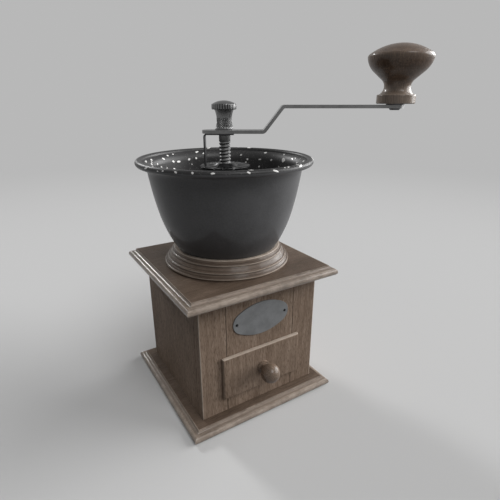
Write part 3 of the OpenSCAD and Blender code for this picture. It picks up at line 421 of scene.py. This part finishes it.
def drawerWearAndHighlight(mat, fibres):
    # the drawer front's upper edge is painted pale as a highlight and partly rubbed to bare wood; the
    # sides are worn paler
    x, _, z = splitPlace(mat)
    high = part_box("drawer_front")[1]
    patches = noise(mat, stretched(mat, (0.5, 1, 1)), 150, 3.0, 0.6)
    topPlace = [high.z - place for place in drawerWearAndHighlightPlaces["top"]]
    top = spread(mat, z, *topPlace, 0.0, drawerWearAndHighlightPlaces["topPale"])
    sidePlace = [high.x - place for place in drawerWearAndHighlightPlaces["side"]]
    side = spread(mat, calc(mat, "ABSOLUTE", x), *sidePlace, 0.0, drawerWearAndHighlightPlaces["sidePale"])
    patchy = spread(mat, patches, 0.25, 0.6, 0.6, 1.0)
    return calc(mat, "MULTIPLY", calc(mat, "MAXIMUM", top, side), patchy)


knobWearAndHighlightPlaces = {  # heights above the knob's foot
    "neck": (17 * mm, 8 * mm), "neckPale": 0.5,
    "edge": 28.7 * mm, "edgeWidth": (4 * mm, 0.5 * mm), "edgePale": 0.22,
}


def knobWearAndHighlight(mat, fibres):
    # handling and painted light pale the foot and the neck; the round edge carries a painted highlight
    # band, partly wear
    z = calc(mat, "SUBTRACT", splitPlace(mat)[2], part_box("crank_knob")[0].z)
    neck = spread(mat, z, *knobWearAndHighlightPlaces["neck"], 0.0, knobWearAndHighlightPlaces["neckPale"])
    edge = spread(mat, away(mat, z, knobWearAndHighlightPlaces["edge"]), *knobWearAndHighlightPlaces["edgeWidth"], 0.0, knobWearAndHighlightPlaces["edgePale"])
    grainy = spread(mat, fibres, 0.3, 0.7, 0.6, 1.0)
    return calc(mat, "MULTIPLY", calc(mat, "MAXIMUM", neck, edge), grainy)


def ballWear(mat, fibres):
    # the drawer's ball is paled all over
    return spread(mat, fibres, 0.3, 0.7, 0.08, 0.24)


# metals and enamel

def metalMaterial(name, colour, roughness, tint=0.25, scratch=0.0, grain=(1, 1, 1), metallic=1.0):
    mat, bsdf = newMaterial(name)
    cloud = noise(mat, stretched(mat), 110, 4.0, 0.6)
    lines = noise(mat, stretched(mat, grain), 1500, 2.0, 0.6)
    dark = tuple(c * (1 - tint) for c in colour)
    pale = tuple(c * (1 + tint) for c in colour)
    base = mixColour(mat, spread(mat, cloud, 0.3, 0.7), dark, pale)
    connect(mat, base, bsdf.inputs["Base Color"])
    bsdf.inputs["Metallic"].default_value = metallic
    mixed = calc(mat, "ADD", calc(mat, "MULTIPLY", cloud, 0.5), calc(mat, "MULTIPLY", lines, 0.5))
    rough = spread(mat, mixed, 0.3, 0.7, roughness - 0.08, roughness + 0.08)
    connect(mat, rough, bsdf.inputs["Roughness"])
    if scratch:
        bump(mat, bsdf, lines, scratch)
    return mat


def enamelMaterial(name, colour, roughness, speckle=0.0, specular=0.5, coat=0.0):
    mat, bsdf = newMaterial(name)
    cloud = noise(mat, stretched(mat), 38, 3.0, 0.5)
    grit = noise(mat, stretched(mat), 900, 2.0, 0.6)
    shade = calc(mat, "ADD", calc(mat, "MULTIPLY", cloud, 0.7), calc(mat, "MULTIPLY", grit, 0.3))
    pale = tuple(c * 1.18 for c in colour)
    dark = tuple(c * 0.84 for c in colour)
    base = mixColour(mat, spread(mat, shade, 0.35, 0.65), dark, pale)
    if speckle:
        dots = spread(mat, grit, 0.60, 0.68)
        base = mixColour(mat, calc(mat, "MULTIPLY", dots, speckle), base, (0.16, 0.155, 0.15))
    connect(mat, base, bsdf.inputs["Base Color"])
    rough = spread(mat, shade, 0.3, 0.7, roughness - 0.04, roughness + 0.05)
    connect(mat, rough, bsdf.inputs["Roughness"])
    bsdf.inputs["Specular IOR Level"].default_value = specular
    bsdf.inputs["Coat Weight"].default_value = coat
    bsdf.inputs["Coat Roughness"].default_value = 0.06
    bump(mat, bsdf, cloud, 0.10 * mm, 0.5)
    return mat


# name, colour, roughness, unevenness of the colour, depth of the scratches, their grain, metallic share
steel = metalMaterial("agedSteel", (0.17, 0.17, 0.17), 0.42, 0.2, 0.02 * mm)
crankSteel = metalMaterial("crankSteel", (0.20, 0.20, 0.20), 0.38, 0.12, 0.02 * mm)
threadSteel = metalMaterial("threadSteel", (0.17, 0.17, 0.17), 0.56, 0.15, 0.015 * mm)
darkSteel = metalMaterial("springSteel", (0.07, 0.07, 0.073), 0.38, 0.15, 0.015 * mm)
discSteel = metalMaterial("discSteel", (0.030, 0.030, 0.031), 0.36, 0.1, 0.02 * mm)
nutSteel = metalMaterial("nutSteel", (0.17, 0.17, 0.17), 0.32, 0.15, 0.015 * mm)
bushBrass = metalMaterial("bushBrass", (0.30, 0.21, 0.09), 0.38, 0.15, 0.02 * mm)
castIron = metalMaterial("castIron", (0.07, 0.07, 0.072), 0.62, 0.3, 0.15 * mm, metallic=0.8)
plateGrain = (0.3, 1, 1)
plateZinc = metalMaterial("plateZinc", (0.168, 0.173, 0.177), 0.6, 0.16, 0.03 * mm, plateGrain, 0.3)
pinSteel = metalMaterial("pinSteel", (0.020, 0.020, 0.020), 0.45, 0.2)
# name, colour, roughness, speckle, specular, coat
enamelOutside = enamelMaterial("enamelOutside", (0.080, 0.080, 0.083), 0.5, 0.0, 0.2, 0.3)
enamelInside = enamelMaterial("enamelInside", (0.026, 0.0255, 0.026), 0.42, 0.5, 0.35)
enamelFleck = enamelMaterial("enamelFleck", (0.93, 0.92, 0.90), 0.22)
print("metals and enamel ready")

plainFinish = {
    "base_screws": steel, "plate_pins": pinSteel, "hopper_bolts": steel,
    "bearing_screws": steel, "drawer_knob_screw": steel, "spring_collar": steel,
    "collar_pin": steel, "burr_nut": steel, "nut_washer": steel,
    "knob_pin": darkSteel, "knob_washer": darkSteel, "detent_spring": darkSteel,
    "bridge_bush": bushBrass, "burr_housing": castIron, "lower_bearing": castIron,
    "outer_burr": castIron, "inner_burr": castIron,
}
for name, material in plainFinish.items():
    nodes[name].material_slots[0].material = material

woodenParts = {  # piece: (stain, grain, wear and painted highlight, radius if turned, joint dirt and painted hollow shade)
    "base_board": (mouldingStain, "X", boardWearAndHighlight, None, None),
    "top_board": (mouldingStain, "X", boardWearAndHighlight, None, None),
    "turned_ring": (ringStain, "X", ringWearAndHighlight, 44 * mm, ringHollowShade),
    "left_side": (boxStain, "Z", cornerWear, None, None),
    "right_side": (boxStain, "Z", cornerWear, None, None),
    "back_panel": (boxStain, "Z", cornerWear, None, None),
    "left_stile": (boxStain, "Z", cornerWear, None, seamDirt),
    "right_stile": (boxStain, "Z", cornerWear, None, seamDirt),
    "upper_front_panel": (boxStain, "Z", None, None, seamDirt),
    "lower_rail": (boxStain, "Z", None, None, seamDirt),
    "drawer_front": (boxStain, "Z", drawerWearAndHighlight, None, None),
    "box_dowels": (drawerWood, "Z", None, None, None),
    "left_runner": (drawerWood, "Y", None, None, None),
    "right_runner": (drawerWood, "Y", None, None, None),
    "drawer_left_side": (drawerWood, "Y", None, None, None),
    "drawer_right_side": (drawerWood, "Y", None, None, None),
    "drawer_back": (drawerWood, "X", None, None, None),
    "drawer_floor": (drawerWood, "Y", None, None, None),
    "drawer_knob": (knobStain, "Y", ballWear, None, None),
    "crank_knob": (knobStain, "Z", knobWearAndHighlight, None, None),
}
finishes = dict(plainFinish)
for count, (name, (look, grain, wearAndHighlight, turnedRadius, jointDirtAndHollowShade)) in enumerate(woodenParts.items()):
    shift = (0.13 * count, -0.21 * count, 0.37 * count)      # each piece is cut from another place
    latheAxis = "Y" if name == "drawer_knob" else "Z"
    finishes[name] = woodMaterial(
        camel(name) + "Wood", look, grain, shift, wearAndHighlight, turnedRadius, jointDirtAndHollowShade, latheAxis)
    nodes[name].material_slots[0].material = finishes[name]
print("wood ready")


# pieces with eased edges

easedEdges = {  # piece: width of the rounding
    "base_board": 0.3 * mm, "top_board": 0.3 * mm,
    "left_side": 0.45 * mm, "right_side": 0.45 * mm, "back_panel": 0.45 * mm,
    "left_stile": 0.45 * mm, "right_stile": 0.45 * mm,
    "upper_front_panel": 0.45 * mm, "lower_rail": 0.45 * mm,
    "drawer_front": 0.6 * mm,
    "blank_plate": 0.25 * mm, "bridge": 0.35 * mm, "crank_arm": 0.3 * mm,
    "keyed_washer": 0.2 * mm, "adjusting_disc": 0.25 * mm,
}
finishes.update({
    "blank_plate": plateZinc, "bridge": steel, "crank_arm": crankSteel,
    "keyed_washer": discSteel, "adjusting_disc": discSteel,
})


def easeEdges(name, width):
    # a welded copy of the piece with its sharp edges rounded
    source = nodes[name]
    obj = bpy.data.objects.new(camel(name), source.data.copy())
    bpy.context.scene.collection.objects.link(obj)
    work = bmesh.new()
    work.from_mesh(obj.data)
    # welded, and without the edges that lie flat in a face
    bmesh.ops.remove_doubles(work, verts=work.verts, dist=0.002 * mm)
    bmesh.ops.dissolve_limit(work, angle_limit=radians(0.3), verts=work.verts, edges=work.edges)
    work.to_mesh(obj.data)
    work.free()
    if "custom_normal" in obj.data.attributes:
        obj.data.attributes.remove(obj.data.attributes["custom_normal"])
    finishMesh(obj, 30)
    ease = obj.modifiers.new("easedEdges", "BEVEL")
    ease.width = width
    ease.segments = 2
    ease.limit_method = "ANGLE"
    ease.angle_limit = radians(40)
    ease.harden_normals = True
    obj.material_slots[0].material = finishes[name]
    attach(obj, source["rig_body"])
    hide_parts(name)
    return obj


eased = {name: easeEdges(name, width) for name, width in easedEdges.items()}

# the moulded edges of the boards are rubbed glossy
rubbedWood = woodMaterial("rubbedWood", rubbedStain, "X", (0.05, 0.4, 0.1), boardWearAndHighlight)
for name in ("base_board", "top_board"):
    board = eased[name].data
    board.materials.append(rubbedWood)
    for face in board.polygons:
        if max(abs(face.center.x), abs(face.center.y)) > boardEdge - boardWearAndHighlightPlaces["corner"]:
            face.material_index = 1
print("edges eased")


# hopper bowl

bowlShape = {
    "beltRadius": 48.8 * mm, "beltHeight": 39 * mm, "beltLean": 14.5,
    "lowArc": 95 * mm, "highArc": 260 * mm, "footArc": 8 * mm,
    "flareHeight": 67.5 * mm, "flareArc": 7 * mm,
    "rimRadius": 62.3 * mm, "rollRadius": 2.2 * mm,
    "wall": 1.4 * mm, "throat": 16 * mm,
    "segments": 160,
}


def bowlOutline(shape):
    # outside upwards, round the roll, inside down again
    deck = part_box("top_board")[1].z
    wall = shape["wall"]
    lean = radians(shape["beltLean"])
    belt = Vector((shape["beltRadius"], deck + shape["beltHeight"]))
    lowCentre = belt + shape["lowArc"] * Vector((-cos(lean), sin(lean)))
    highCentre = belt + shape["highArc"] * Vector((-cos(lean), sin(lean)))
    flareLean = asin((highCentre.y - deck - shape["flareHeight"]) / shape["highArc"])
    reach = shape["highArc"] + shape["flareArc"]
    flareCentre = highCentre + reach * Vector((cos(flareLean), -sin(flareLean)))
    footZ = deck + shape["footArc"]
    footLean = asin((lowCentre.y - footZ) / (shape["lowArc"] - shape["footArc"]))
    footCentre = (lowCentre.x + (shape["lowArc"] - shape["footArc"]) * cos(footLean), footZ)
    rollX = shape["rimRadius"] - shape["rollRadius"]
    rollReach = shape["flareArc"] + wall / 2
    rollCentre = Vector((rollX, flareCentre.y + sqrt(rollReach ** 2 - (flareCentre.x - rollX) ** 2)))
    toRoll = degrees(atan2(rollCentre.y - flareCentre.y, rollCentre.x - flareCentre.x))

    def meeting(radius):
        # where the roll meets a surface of the flare, as angles round both centres
        cosine = (radius ** 2 + rollReach ** 2 - shape["rollRadius"] ** 2) / (2 * radius * rollReach)
        turn = degrees(acos(cosine))
        a = radians(toRoll + turn)
        spot = flareCentre + radius * Vector((cos(a), sin(a)))
        return toRoll + turn, degrees(atan2(spot.y - rollCentre.y, spot.x - rollCentre.x))

    underEnd, rollStart = meeting(shape["flareArc"])
    overEnd, rollEnd = meeting(shape["flareArc"] + wall)
    rollStart = rollStart if rollStart < 0 else rollStart - 360
    footDeg, beltDeg, flareDeg = degrees(footLean), shape["beltLean"], degrees(flareLean)
    outline = [(shape["throat"], deck)]
    outline += arc(footCentre, shape["footArc"], -90, -footDeg, 10)
    outline += arc(lowCentre, shape["lowArc"], -footDeg, -beltDeg, 24)[1:]
    outline += arc(highCentre, shape["highArc"], -beltDeg, -flareDeg, 16)[1:]
    outline += arc(flareCentre, shape["flareArc"], 180 - flareDeg, underEnd, 14)[1:]
    outline += arc(rollCentre, shape["rollRadius"], rollStart, 0, 12)[1:]
    insideStart = len(outline) - 1      # the roll's upper half belongs to the inside
    outline += arc(rollCentre, shape["rollRadius"], 0, rollEnd, 14)[1:]
    outline += arc(flareCentre, shape["flareArc"] + wall, overEnd, 180 - flareDeg, 14)[1:]
    outline += arc(highCentre, shape["highArc"] - wall, -flareDeg, -beltDeg, 16)[1:]
    outline += arc(lowCentre, shape["lowArc"] - wall, -beltDeg, -footDeg, 24)[1:]
    outline += arc(footCentre, shape["footArc"] - wall, -footDeg, -90, 10)[1:]
    outline.append((shape["throat"], deck + wall))
    return outline, insideStart


def makeBowl(shape):
    outline, insideStart = bowlOutline(shape)
    verts, faces = turnedMesh(outline, shape["segments"], loop=True)
    bowl = newPiece("hopperBowl", verts, faces, "mill", enamelOutside, 50)
    bowl.data.materials.append(enamelInside)
    for index, face in enumerate(bowl.data.polygons):
        row = index // shape["segments"]
        face.material_index = 1 if insideStart <= row < len(outline) - 1 else 0
    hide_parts("hopper_bowl")
    return outline[insideStart:-1]


bowlInside = makeBowl(bowlShape)
print("bowl ready")


# white flecks as thin raised chips on the bowl's rim and inside

fleckLook = {  # places are distances inwards from the roll's widest line
    "seed": 11,
    "onRim": 15, "rimPlace": (0.2 * mm, 4.2 * mm),
    "onWall": 115, "wallPlace": (8 * mm, 52 * mm),
    "length": (1.3 * mm, 4.0 * mm), "width": (1.0 * mm, 2.2 * mm),
    "handScale": 1.6,
    "lift": 0.12 * mm,
    "points": 9,
}
largeFlecks = [  # angle in degrees; distance inwards, length and width in millimetres
    (3, 13.4, 3.0, 2.2), (17, 14.6, 1.6, 1.2), (29, 15.0, 2.2, 0.8), (41, 15.6, 1.4, 1.1),
    (76, 20.5, 1.6, 0.9), (106, 15.2, 2.6, 1.2), (122, 11.0, 2.2, 1.3), (121, 19, 2.0, 1.0),
    (-20, 14.6, 1.8, 1.2), (-170, 0.7, 2.8, 1.0), (-146, 0.9, 1.5, 0.8), (-136, 1.0, 1.2, 0.9),
    (-125, 1.0, 1.6, 0.8), (-106, 1.1, 1.7, 0.9), (-90, 0.9, 3.2, 0.8), (-69, 1.6, 3.0, 1.0),
    (95, 14.4, 1.8, 1.4), (66, 26.6, 1.8, 1.4), (51, 25.8, 1.6, 1.2), (45, 22.4, 2.0, 1.2),
    (150, 9.0, 1.8, 1.2), (143, 12.5, 1.4, 1.2), (138, 9.5, 2.2, 1.3), (133, 14.0, 1.5, 1.1),
    (128, 17.0, 1.8, 1.2), (115, 9.0, 1.6, 1.2), (112, 20.5, 1.8, 1.3), (158, 12.0, 1.5, 1.2),
    (88, 14.0, 1.4, 1.2), (60, 15.0, 1.6, 1.1), (-8, 11.0, 2.6, 1.0), (-30, 9.0, 2.4, 1.0),
]


def makeFlecks(look, inside):
    lengths = [0.0]
    for a, b in zip(inside, inside[1:]):
        lengths.append(lengths[-1] + hypot(b[0] - a[0], b[1] - a[1]))

    def onBowl(angle, along, lift):
        along = max(0.0, min(along, lengths[-1] - 1e-6))
        i = max(k for k, s in enumerate(lengths[:-1]) if s <= along)
        (r0, z0), (r1, z1) = inside[i], inside[i + 1]
        span = hypot(r1 - r0, z1 - z0)
        t = (along - lengths[i]) / span
        r = r0 + (r1 - r0) * t + (z1 - z0) / span * lift      # straight out of the enamel
        z = z0 + (z1 - z0) * t - (r1 - r0) / span * lift
        return r * cos(angle), r * sin(angle), z

    def between(ends, share):
        return ends[0] + (ends[1] - ends[0]) * share

    dice = random.Random(look["seed"])
    unit = look["handScale"] * mm
    flecks = [(radians(a), s * mm, l * unit, w * unit) for a, s, l, w in largeFlecks]
    for amount, place in ((look["onRim"], look["rimPlace"]), (look["onWall"], look["wallPlace"])):
        for k in range(amount):
            # mostly small ones, and more of them near the rim
            size = dice.random() ** 2
            along = between(place, dice.random() ** 1.3)
            length = between(look["length"], size)
            width = between(look["width"], size * dice.uniform(0.5, 1))
            flecks.append((dice.uniform(-pi, pi), along, length, width))
    # each chip is three outlines: sunk into the enamel, its shoulder and its top
    outlines = ((1.0, -0.03 * mm), (0.96, look["lift"] * 0.7), (0.72, look["lift"]))
    radius = inside[0][0]
    verts = []
    faces = []
    n = look["points"]
    for angle, along, length, width in flecks:
        tilt = dice.uniform(-0.5, 0.5)
        wobble = [dice.uniform(0.72, 1.12) for k in range(n)]
        first = len(verts)
        for scale, lift in outlines:
            for k in range(n):
                a = 2 * pi * k / n
                u = length / 2 * cos(a) * wobble[k] * scale
                v = width / 2 * sin(a) * wobble[k] * scale
                u, v = u * cos(tilt) - v * sin(tilt), u * sin(tilt) + v * cos(tilt)
                verts.append(onBowl(angle + u / radius, along + v, lift))
        top = first + (len(outlines) - 1) * n
        for low in range(first, top, n):
            for k in range(n):
                m = (k + 1) % n
                faces.append((low + k, low + m, low + n + m, low + n + k))
        faces.append([top + k for k in range(n)])
        faces.append([first + k for k in reversed(range(n))])
    chips = newPiece("enamelFlecks", verts, faces, "mill", enamelFleck, 50)
    work = bmesh.new()
    work.from_mesh(chips.data)
    bmesh.ops.recalc_face_normals(work, faces=work.faces)
    work.to_mesh(chips.data)
    work.free()


makeFlecks(fleckLook, bowlInside)
print("flecks ready")


# spindle with its cut thread

spindleShape = {
    "radius": 4 * mm, "seatRadius": 3.5 * mm, "tailRadius": 2.9 * mm, "studRadius": 2.7 * mm,
    "pitch": 2.35 * mm, "threadDepth": 0.75 * mm,
    "threadLow": 175.5 * mm, "threadHigh": 193.2 * mm, "fade": 1.2 * mm,
    "studPitch": 1.25 * mm, "studDepth": 0.45 * mm,
    "keyLow": 170.8 * mm, "keyHigh": 178.5 * mm, "keyFlat": 3.3 * mm, "keyAngle": 58,
    "square": 5.6 * mm, "squareAngle": -32, "squareHeight": 3.2 * mm,
    "seatLow": 70.8 * mm, "seatHigh": 95 * mm, "seatFlat": 3 * mm,
    "springSheet": 1.0 * mm,
    "shoulderEdge": 0.35 * mm, "tailEdge": 0.4 * mm,
    "segments": 64, "threadStep": 0.16 * mm,
}


def makeSpindle(shape):
    low, high = (corner.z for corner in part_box("spindle"))
    # the arm sits on the detent spring
    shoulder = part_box("crank_arm")[0].z - shape["springSheet"]
    armTop = shoulder + shape["squareHeight"]
    edge = shape["tailEdge"]
    outline = [(0, low), (shape["tailRadius"] - edge, low), (shape["tailRadius"], low + edge)]
    outline += [(shape["tailRadius"], shape["seatLow"]), (shape["seatRadius"], shape["seatLow"])]
    outline += [(shape["seatRadius"], shape["seatHigh"]), (shape["radius"], shape["seatHigh"])]
    climb = shape["threadHigh"] - shape["keyLow"]
    steps = int(climb / shape["threadStep"])
    outline += [(shape["radius"], shape["keyLow"] + climb * i / steps) for i in range(steps + 1)]
    edge = shape["shoulderEdge"]
    outline += [(shape["radius"], shoulder - edge), (shape["radius"] - edge, shoulder)]
    squareLow = len(outline)
    outline += [(shape["radius"], shoulder), (shape["radius"], armTop)]
    squareHigh = len(outline)
    climb = high - armTop
    steps = int(climb / shape["threadStep"])
    outline += [(shape["studRadius"], armTop + climb * i / steps) for i in range(steps + 1)]
    outline.append((0, high))

    def groove(z, a, start, end, pitch, depth):
        # depth of the thread at a height and an angle
        if not start < z < end:
            return 0
        ease = min(1, (z - start) / shape["fade"], (end - z) / shape["fade"])
        turn = (z / pitch - a / (2 * pi)) % 1
        return depth * ease * (0.5 - 0.5 * cos(2 * pi * turn)) ** 1.4

    flats = (
        (shape["keyLow"], shape["keyHigh"], shape["keyFlat"], shape["keyAngle"]),
        (shape["seatLow"], shape["seatHigh"], shape["seatFlat"], 0),
    )

    def cut(index, r, z, a):
        # the square under the arm, the threads, and the flats
        if squareLow <= index < squareHigh:
            local = a - radians(shape["squareAngle"])
            r = min(r, shape["square"] / 2 / max(abs(cos(local)), abs(sin(local))))
            return r * cos(a), r * sin(a)
        if index >= squareHigh:
            r -= groove(z, a, armTop, high, shape["studPitch"], shape["studDepth"])
        else:
            start, end = shape["threadLow"], shape["threadHigh"]
            r -= groove(z, a, start, end, shape["pitch"], shape["threadDepth"])
        x, y = r * cos(a), r * sin(a)
        for start, end, flat, angle in flats:
            nx, ny = cos(radians(angle)), sin(radians(angle))
            over = x * nx + y * ny - flat
            if start <= z <= end and over > 0:
                x, y = x - nx * over, y - ny * over
        return x, y

    verts, faces = turnedMesh(outline, shape["segments"], shift=cut)
    spindle = newPiece(
        "threadedSpindle", verts, faces, "spindle_set", threadSteel, 40)
    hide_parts("spindle")


makeSpindle(spindleShape)
print("spindle ready")


# knurled nut

nutShape = {
    "headRadius": 8.5 * mm, "neckRadius": 6.6 * mm, "waistRadius": 5.15 * mm,
    "footRadius": 6 * mm, "boreRadius": 2.8 * mm,
    "footEdge": 0.3 * mm, "headEdge": 0.45 * mm, "domeEdge": 0.25 * mm,
    "footHeight": 5.4 * mm, "domeHeight": 2.3 * mm, "headHeight": 5.8 * mm,
    "boreRoom": 1 * mm,      # above the spindle's end
    "ribs": 30, "ribDepth": 0.7 * mm, "segments": 240,
    "knurlCount": 24, "knurlDepth": 0.40 * mm, "knurlLow": 0.7 * mm, "knurlHigh": 7.2 * mm,
    "knurlStep": 0.17 * mm, "knurlFade": 0.4 * mm,
}


def makeNut(shape):
    low, high = (corner.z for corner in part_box("knurled_nut"))
    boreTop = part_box("spindle")[1].z + shape["boreRoom"]
    rim = high - shape["headHeight"]
    domeZ = high - shape["domeHeight"]
    waistZ = low + shape["footHeight"]
    step = shape["neckRadius"] - shape["waistRadius"]
    sweep = ((rim - waistZ) ** 2 + step ** 2) / (2 * step)
    outline = [(0, boreTop), (shape["boreRadius"], boreTop), (shape["boreRadius"], low)]
    outline.append((shape["footRadius"] - shape["footEdge"], low))

    def bodyRadius(z):
        # the foot widens below the waist, the waist sweeps out to the head
        if z >= waistZ:
            return shape["waistRadius"] + sweep - sqrt(max(0.0, sweep ** 2 - (z - waistZ) ** 2))
        t = (waistZ - z) / shape["footHeight"]
        return shape["waistRadius"] + (shape["footRadius"] - shape["waistRadius"]) * t ** 1.6

    bodyLow = len(outline)
    z = low + shape["footEdge"]
    while z < low + shape["knurlHigh"] + 0.2 * mm:
        outline.append((bodyRadius(z), z))
        z += shape["knurlStep"]
    for i in range(11):
        h = z + (rim - z) * i / 10
        outline.append((bodyRadius(h), h))
    headLow = len(outline)
    edge = shape["headEdge"]
    domeFoot = shape["headRadius"] - shape["domeEdge"]
    outline += [(shape["headRadius"] - edge, rim), (shape["headRadius"], rim + edge),
                (shape["headRadius"], domeZ - edge), (domeFoot, domeZ)]
    headHigh = len(outline)
    domeRadius = (domeFoot ** 2 + shape["domeHeight"] ** 2) / (2 * shape["domeHeight"])
    for i in range(1, 13):
        r = domeFoot * (1 - i / 12)
        outline.append((r, high - domeRadius + sqrt(domeRadius ** 2 - r ** 2)))

    knurlLow, knurlHigh = low + shape["knurlLow"], low + shape["knurlHigh"]

    def wave(a, count):
        # falls and climbs between 1 and 0, so many times round
        return abs((a * count / (2 * pi)) % 1 - 0.5) * 2

    def cut(index, r, z, a):
        # ribs round the head, knurling round the foot
        if headLow + 1 <= index < headHigh - 1:
            r -= shape["ribDepth"] * max(0.0, 1 - wave(a, shape["ribs"]) * 2.2)
        elif knurlLow < z < knurlHigh and bodyLow <= index < headLow:
            fade = min(1, (z - knurlLow) / shape["knurlFade"], (knurlHigh - z) / shape["knurlFade"])
            lead = z / shape["waistRadius"]
            ridge = min(wave(a + lead, shape["knurlCount"]), wave(a - lead, shape["knurlCount"]))
            r += shape["knurlDepth"] * fade * (ridge * 1.3 - 0.65)
        return r * cos(a), r * sin(a)

    verts, faces = turnedMesh(outline, shape["segments"], shift=cut)
    nut = newPiece("knurledNut", verts, faces, "nut", nutSteel, 30)
    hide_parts("knurled_nut")


makeNut(nutShape)
print("nut ready")


# spring under the bridge

springShape = {
    "wireRadius": 0.75 * mm, "turns": 4.8, "flatEnd": 0.12, "lift": 1.17 * mm,
    "perTurn": 40, "sides": 12,
}


def makeSpring(shape):
    low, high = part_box("spindle_spring")
    wire = shape["wireRadius"]
    coil = high.x - wire
    steps = int(shape["turns"] * shape["perTurn"])
    verts = []
    faces = []
    for i in range(steps + 1):
        t = i / steps
        turn = 2 * pi * shape["turns"] * t
        flat = shape["flatEnd"]
        rise = min(1, max(0, (t - flat) / (1 - 2 * flat)))
        z = low.z + wire + (high.z - low.z - 2 * wire) * rise
        for k in range(shape["sides"]):
            a = 2 * pi * k / shape["sides"]
            r = coil + wire * cos(a)
            verts.append((r * cos(turn), r * sin(turn), z + wire * sin(a)))
    n = shape["sides"]
    for i in range(steps):
        for k in range(n):
            m = (k + 1) % n
            faces.append((i * n + k, i * n + n + k, i * n + n + m, i * n + m))
    faces.append(list(range(n)))
    faces.append([steps * n + k for k in reversed(range(n))])
    spring = newPiece("spindleSpring", verts, faces, "mill", darkSteel, 50)
    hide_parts("spindle_spring")
    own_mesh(spring)


makeSpring(springShape)
print("spring ready")


# camera, light and floor

camera = {
    "place": (-0.13638, -0.25222, 0.22007),
    "turn": (69.21, 0, -31.94),      # degrees
    "lens": 28.498, "sensor": 36,
}
studio = {
    "lamps": {  # direction it comes from, angle across in degrees, strength
        "right": ((0.86, -0.34, 0.33), 50, 3.0),
        "edge": ((0.95, 0.15, 0.27), 30, 1.2),
        "front": ((0.05, -0.60, 0.80), 30, 1.1),
        "line": ((-0.17, 0.87, 0.46), 10, 1.1),
    },
    "ambient": 0.10,
    "backdrop": 0.48,
    "floorPale": 0.57, "floorBounce": 0.15,
    "floorRadius": 8.0, "fadeStart": 0.3, "fadeEnd": 1.3,
}


def seenDirectly(mat):
    # 1 for what the camera, a reflection or a see-through surface shows
    path = addNode(mat, "ShaderNodeLightPath")
    seen = calc(mat, "MAXIMUM", path.outputs["Is Camera Ray"], path.outputs["Is Glossy Ray"])
    return calc(mat, "MAXIMUM", seen, path.outputs["Is Transmission Ray"])


def addLamp(name, origin, angle, strength):
    data = bpy.data.lights.new(name, "SUN")
    data.angle = radians(angle)
    data.energy = strength
    lamp = bpy.data.objects.new(name, data)
    towards = Vector(origin).normalized()
    lamp.location = towards
    lamp.rotation_euler = towards.to_track_quat("Z", "Y").to_euler()
    bpy.context.scene.collection.objects.link(lamp)


def makeCamera(look):
    data = bpy.data.cameras.new("camera")
    data.lens = look["lens"]
    data.sensor_width = look["sensor"]
    eye = bpy.data.objects.new("camera", data)
    eye.location = look["place"]
    eye.rotation_euler = [radians(a) for a in look["turn"]]
    bpy.context.scene.collection.objects.link(eye)
    bpy.context.scene.camera = eye


def makeWorld(look):
    world = bpy.data.worlds.new("studioWorld")
    world.use_nodes = True
    grey = mixColour(world, seenDirectly(world), (look["ambient"],) * 3, (look["backdrop"],) * 3)
    connect(world, grey, world.node_tree.nodes["Background"].inputs["Color"])
    bpy.context.scene.world = world


def floorMaterial(look):
    # pale where it is seen, and melting into the backdrop far out
    mat, bsdf = newMaterial("floorPaint")
    seen = seenDirectly(mat)
    pale = mixColour(mat, seen, (look["floorBounce"],) * 3, (look["floorPale"],) * 3)
    connect(mat, pale, bsdf.inputs["Base Color"])
    bsdf.inputs["Roughness"].default_value = 0.9
    bsdf.inputs["Specular IOR Level"].default_value = 0.1
    length = addNode(mat, "ShaderNodeVectorMath", {0: objectPlace(mat)}, operation="LENGTH")
    reach = length.outputs["Value"]
    fade = calc(mat, "MULTIPLY", spread(mat, reach, look["fadeStart"], look["fadeEnd"]), seen)
    glow = addNode(mat, "ShaderNodeEmission", {"Color": (look["backdrop"],) * 3 + (1,)})
    mixed = addNode(mat, "ShaderNodeMixShader", {0: fade, 1: bsdf.outputs[0], 2: glow.outputs[0]})
    connect(mat, mixed.outputs[0], mat.node_tree.nodes["Material Output"].inputs["Surface"])
    return mat


def makeFloor(look):
    verts, faces = turnedMesh([(0, 0), (look["floorRadius"], 0)], 96)
    mesh = bpy.data.meshes.new("floor")
    mesh.from_pydata(verts, [], faces)
    mesh.materials.append(floorMaterial(look))
    ground = bpy.data.objects.new("floor", mesh)
    bpy.context.scene.collection.objects.link(ground)


bpy.context.scene.view_settings.view_transform = "Standard"
makeCamera(camera)
for name, (origin, angle, strength) in studio["lamps"].items():
    addLamp(name + "Light", origin, angle, strength)
makeWorld(studio)
makeFloor(studio)
print("studio ready")
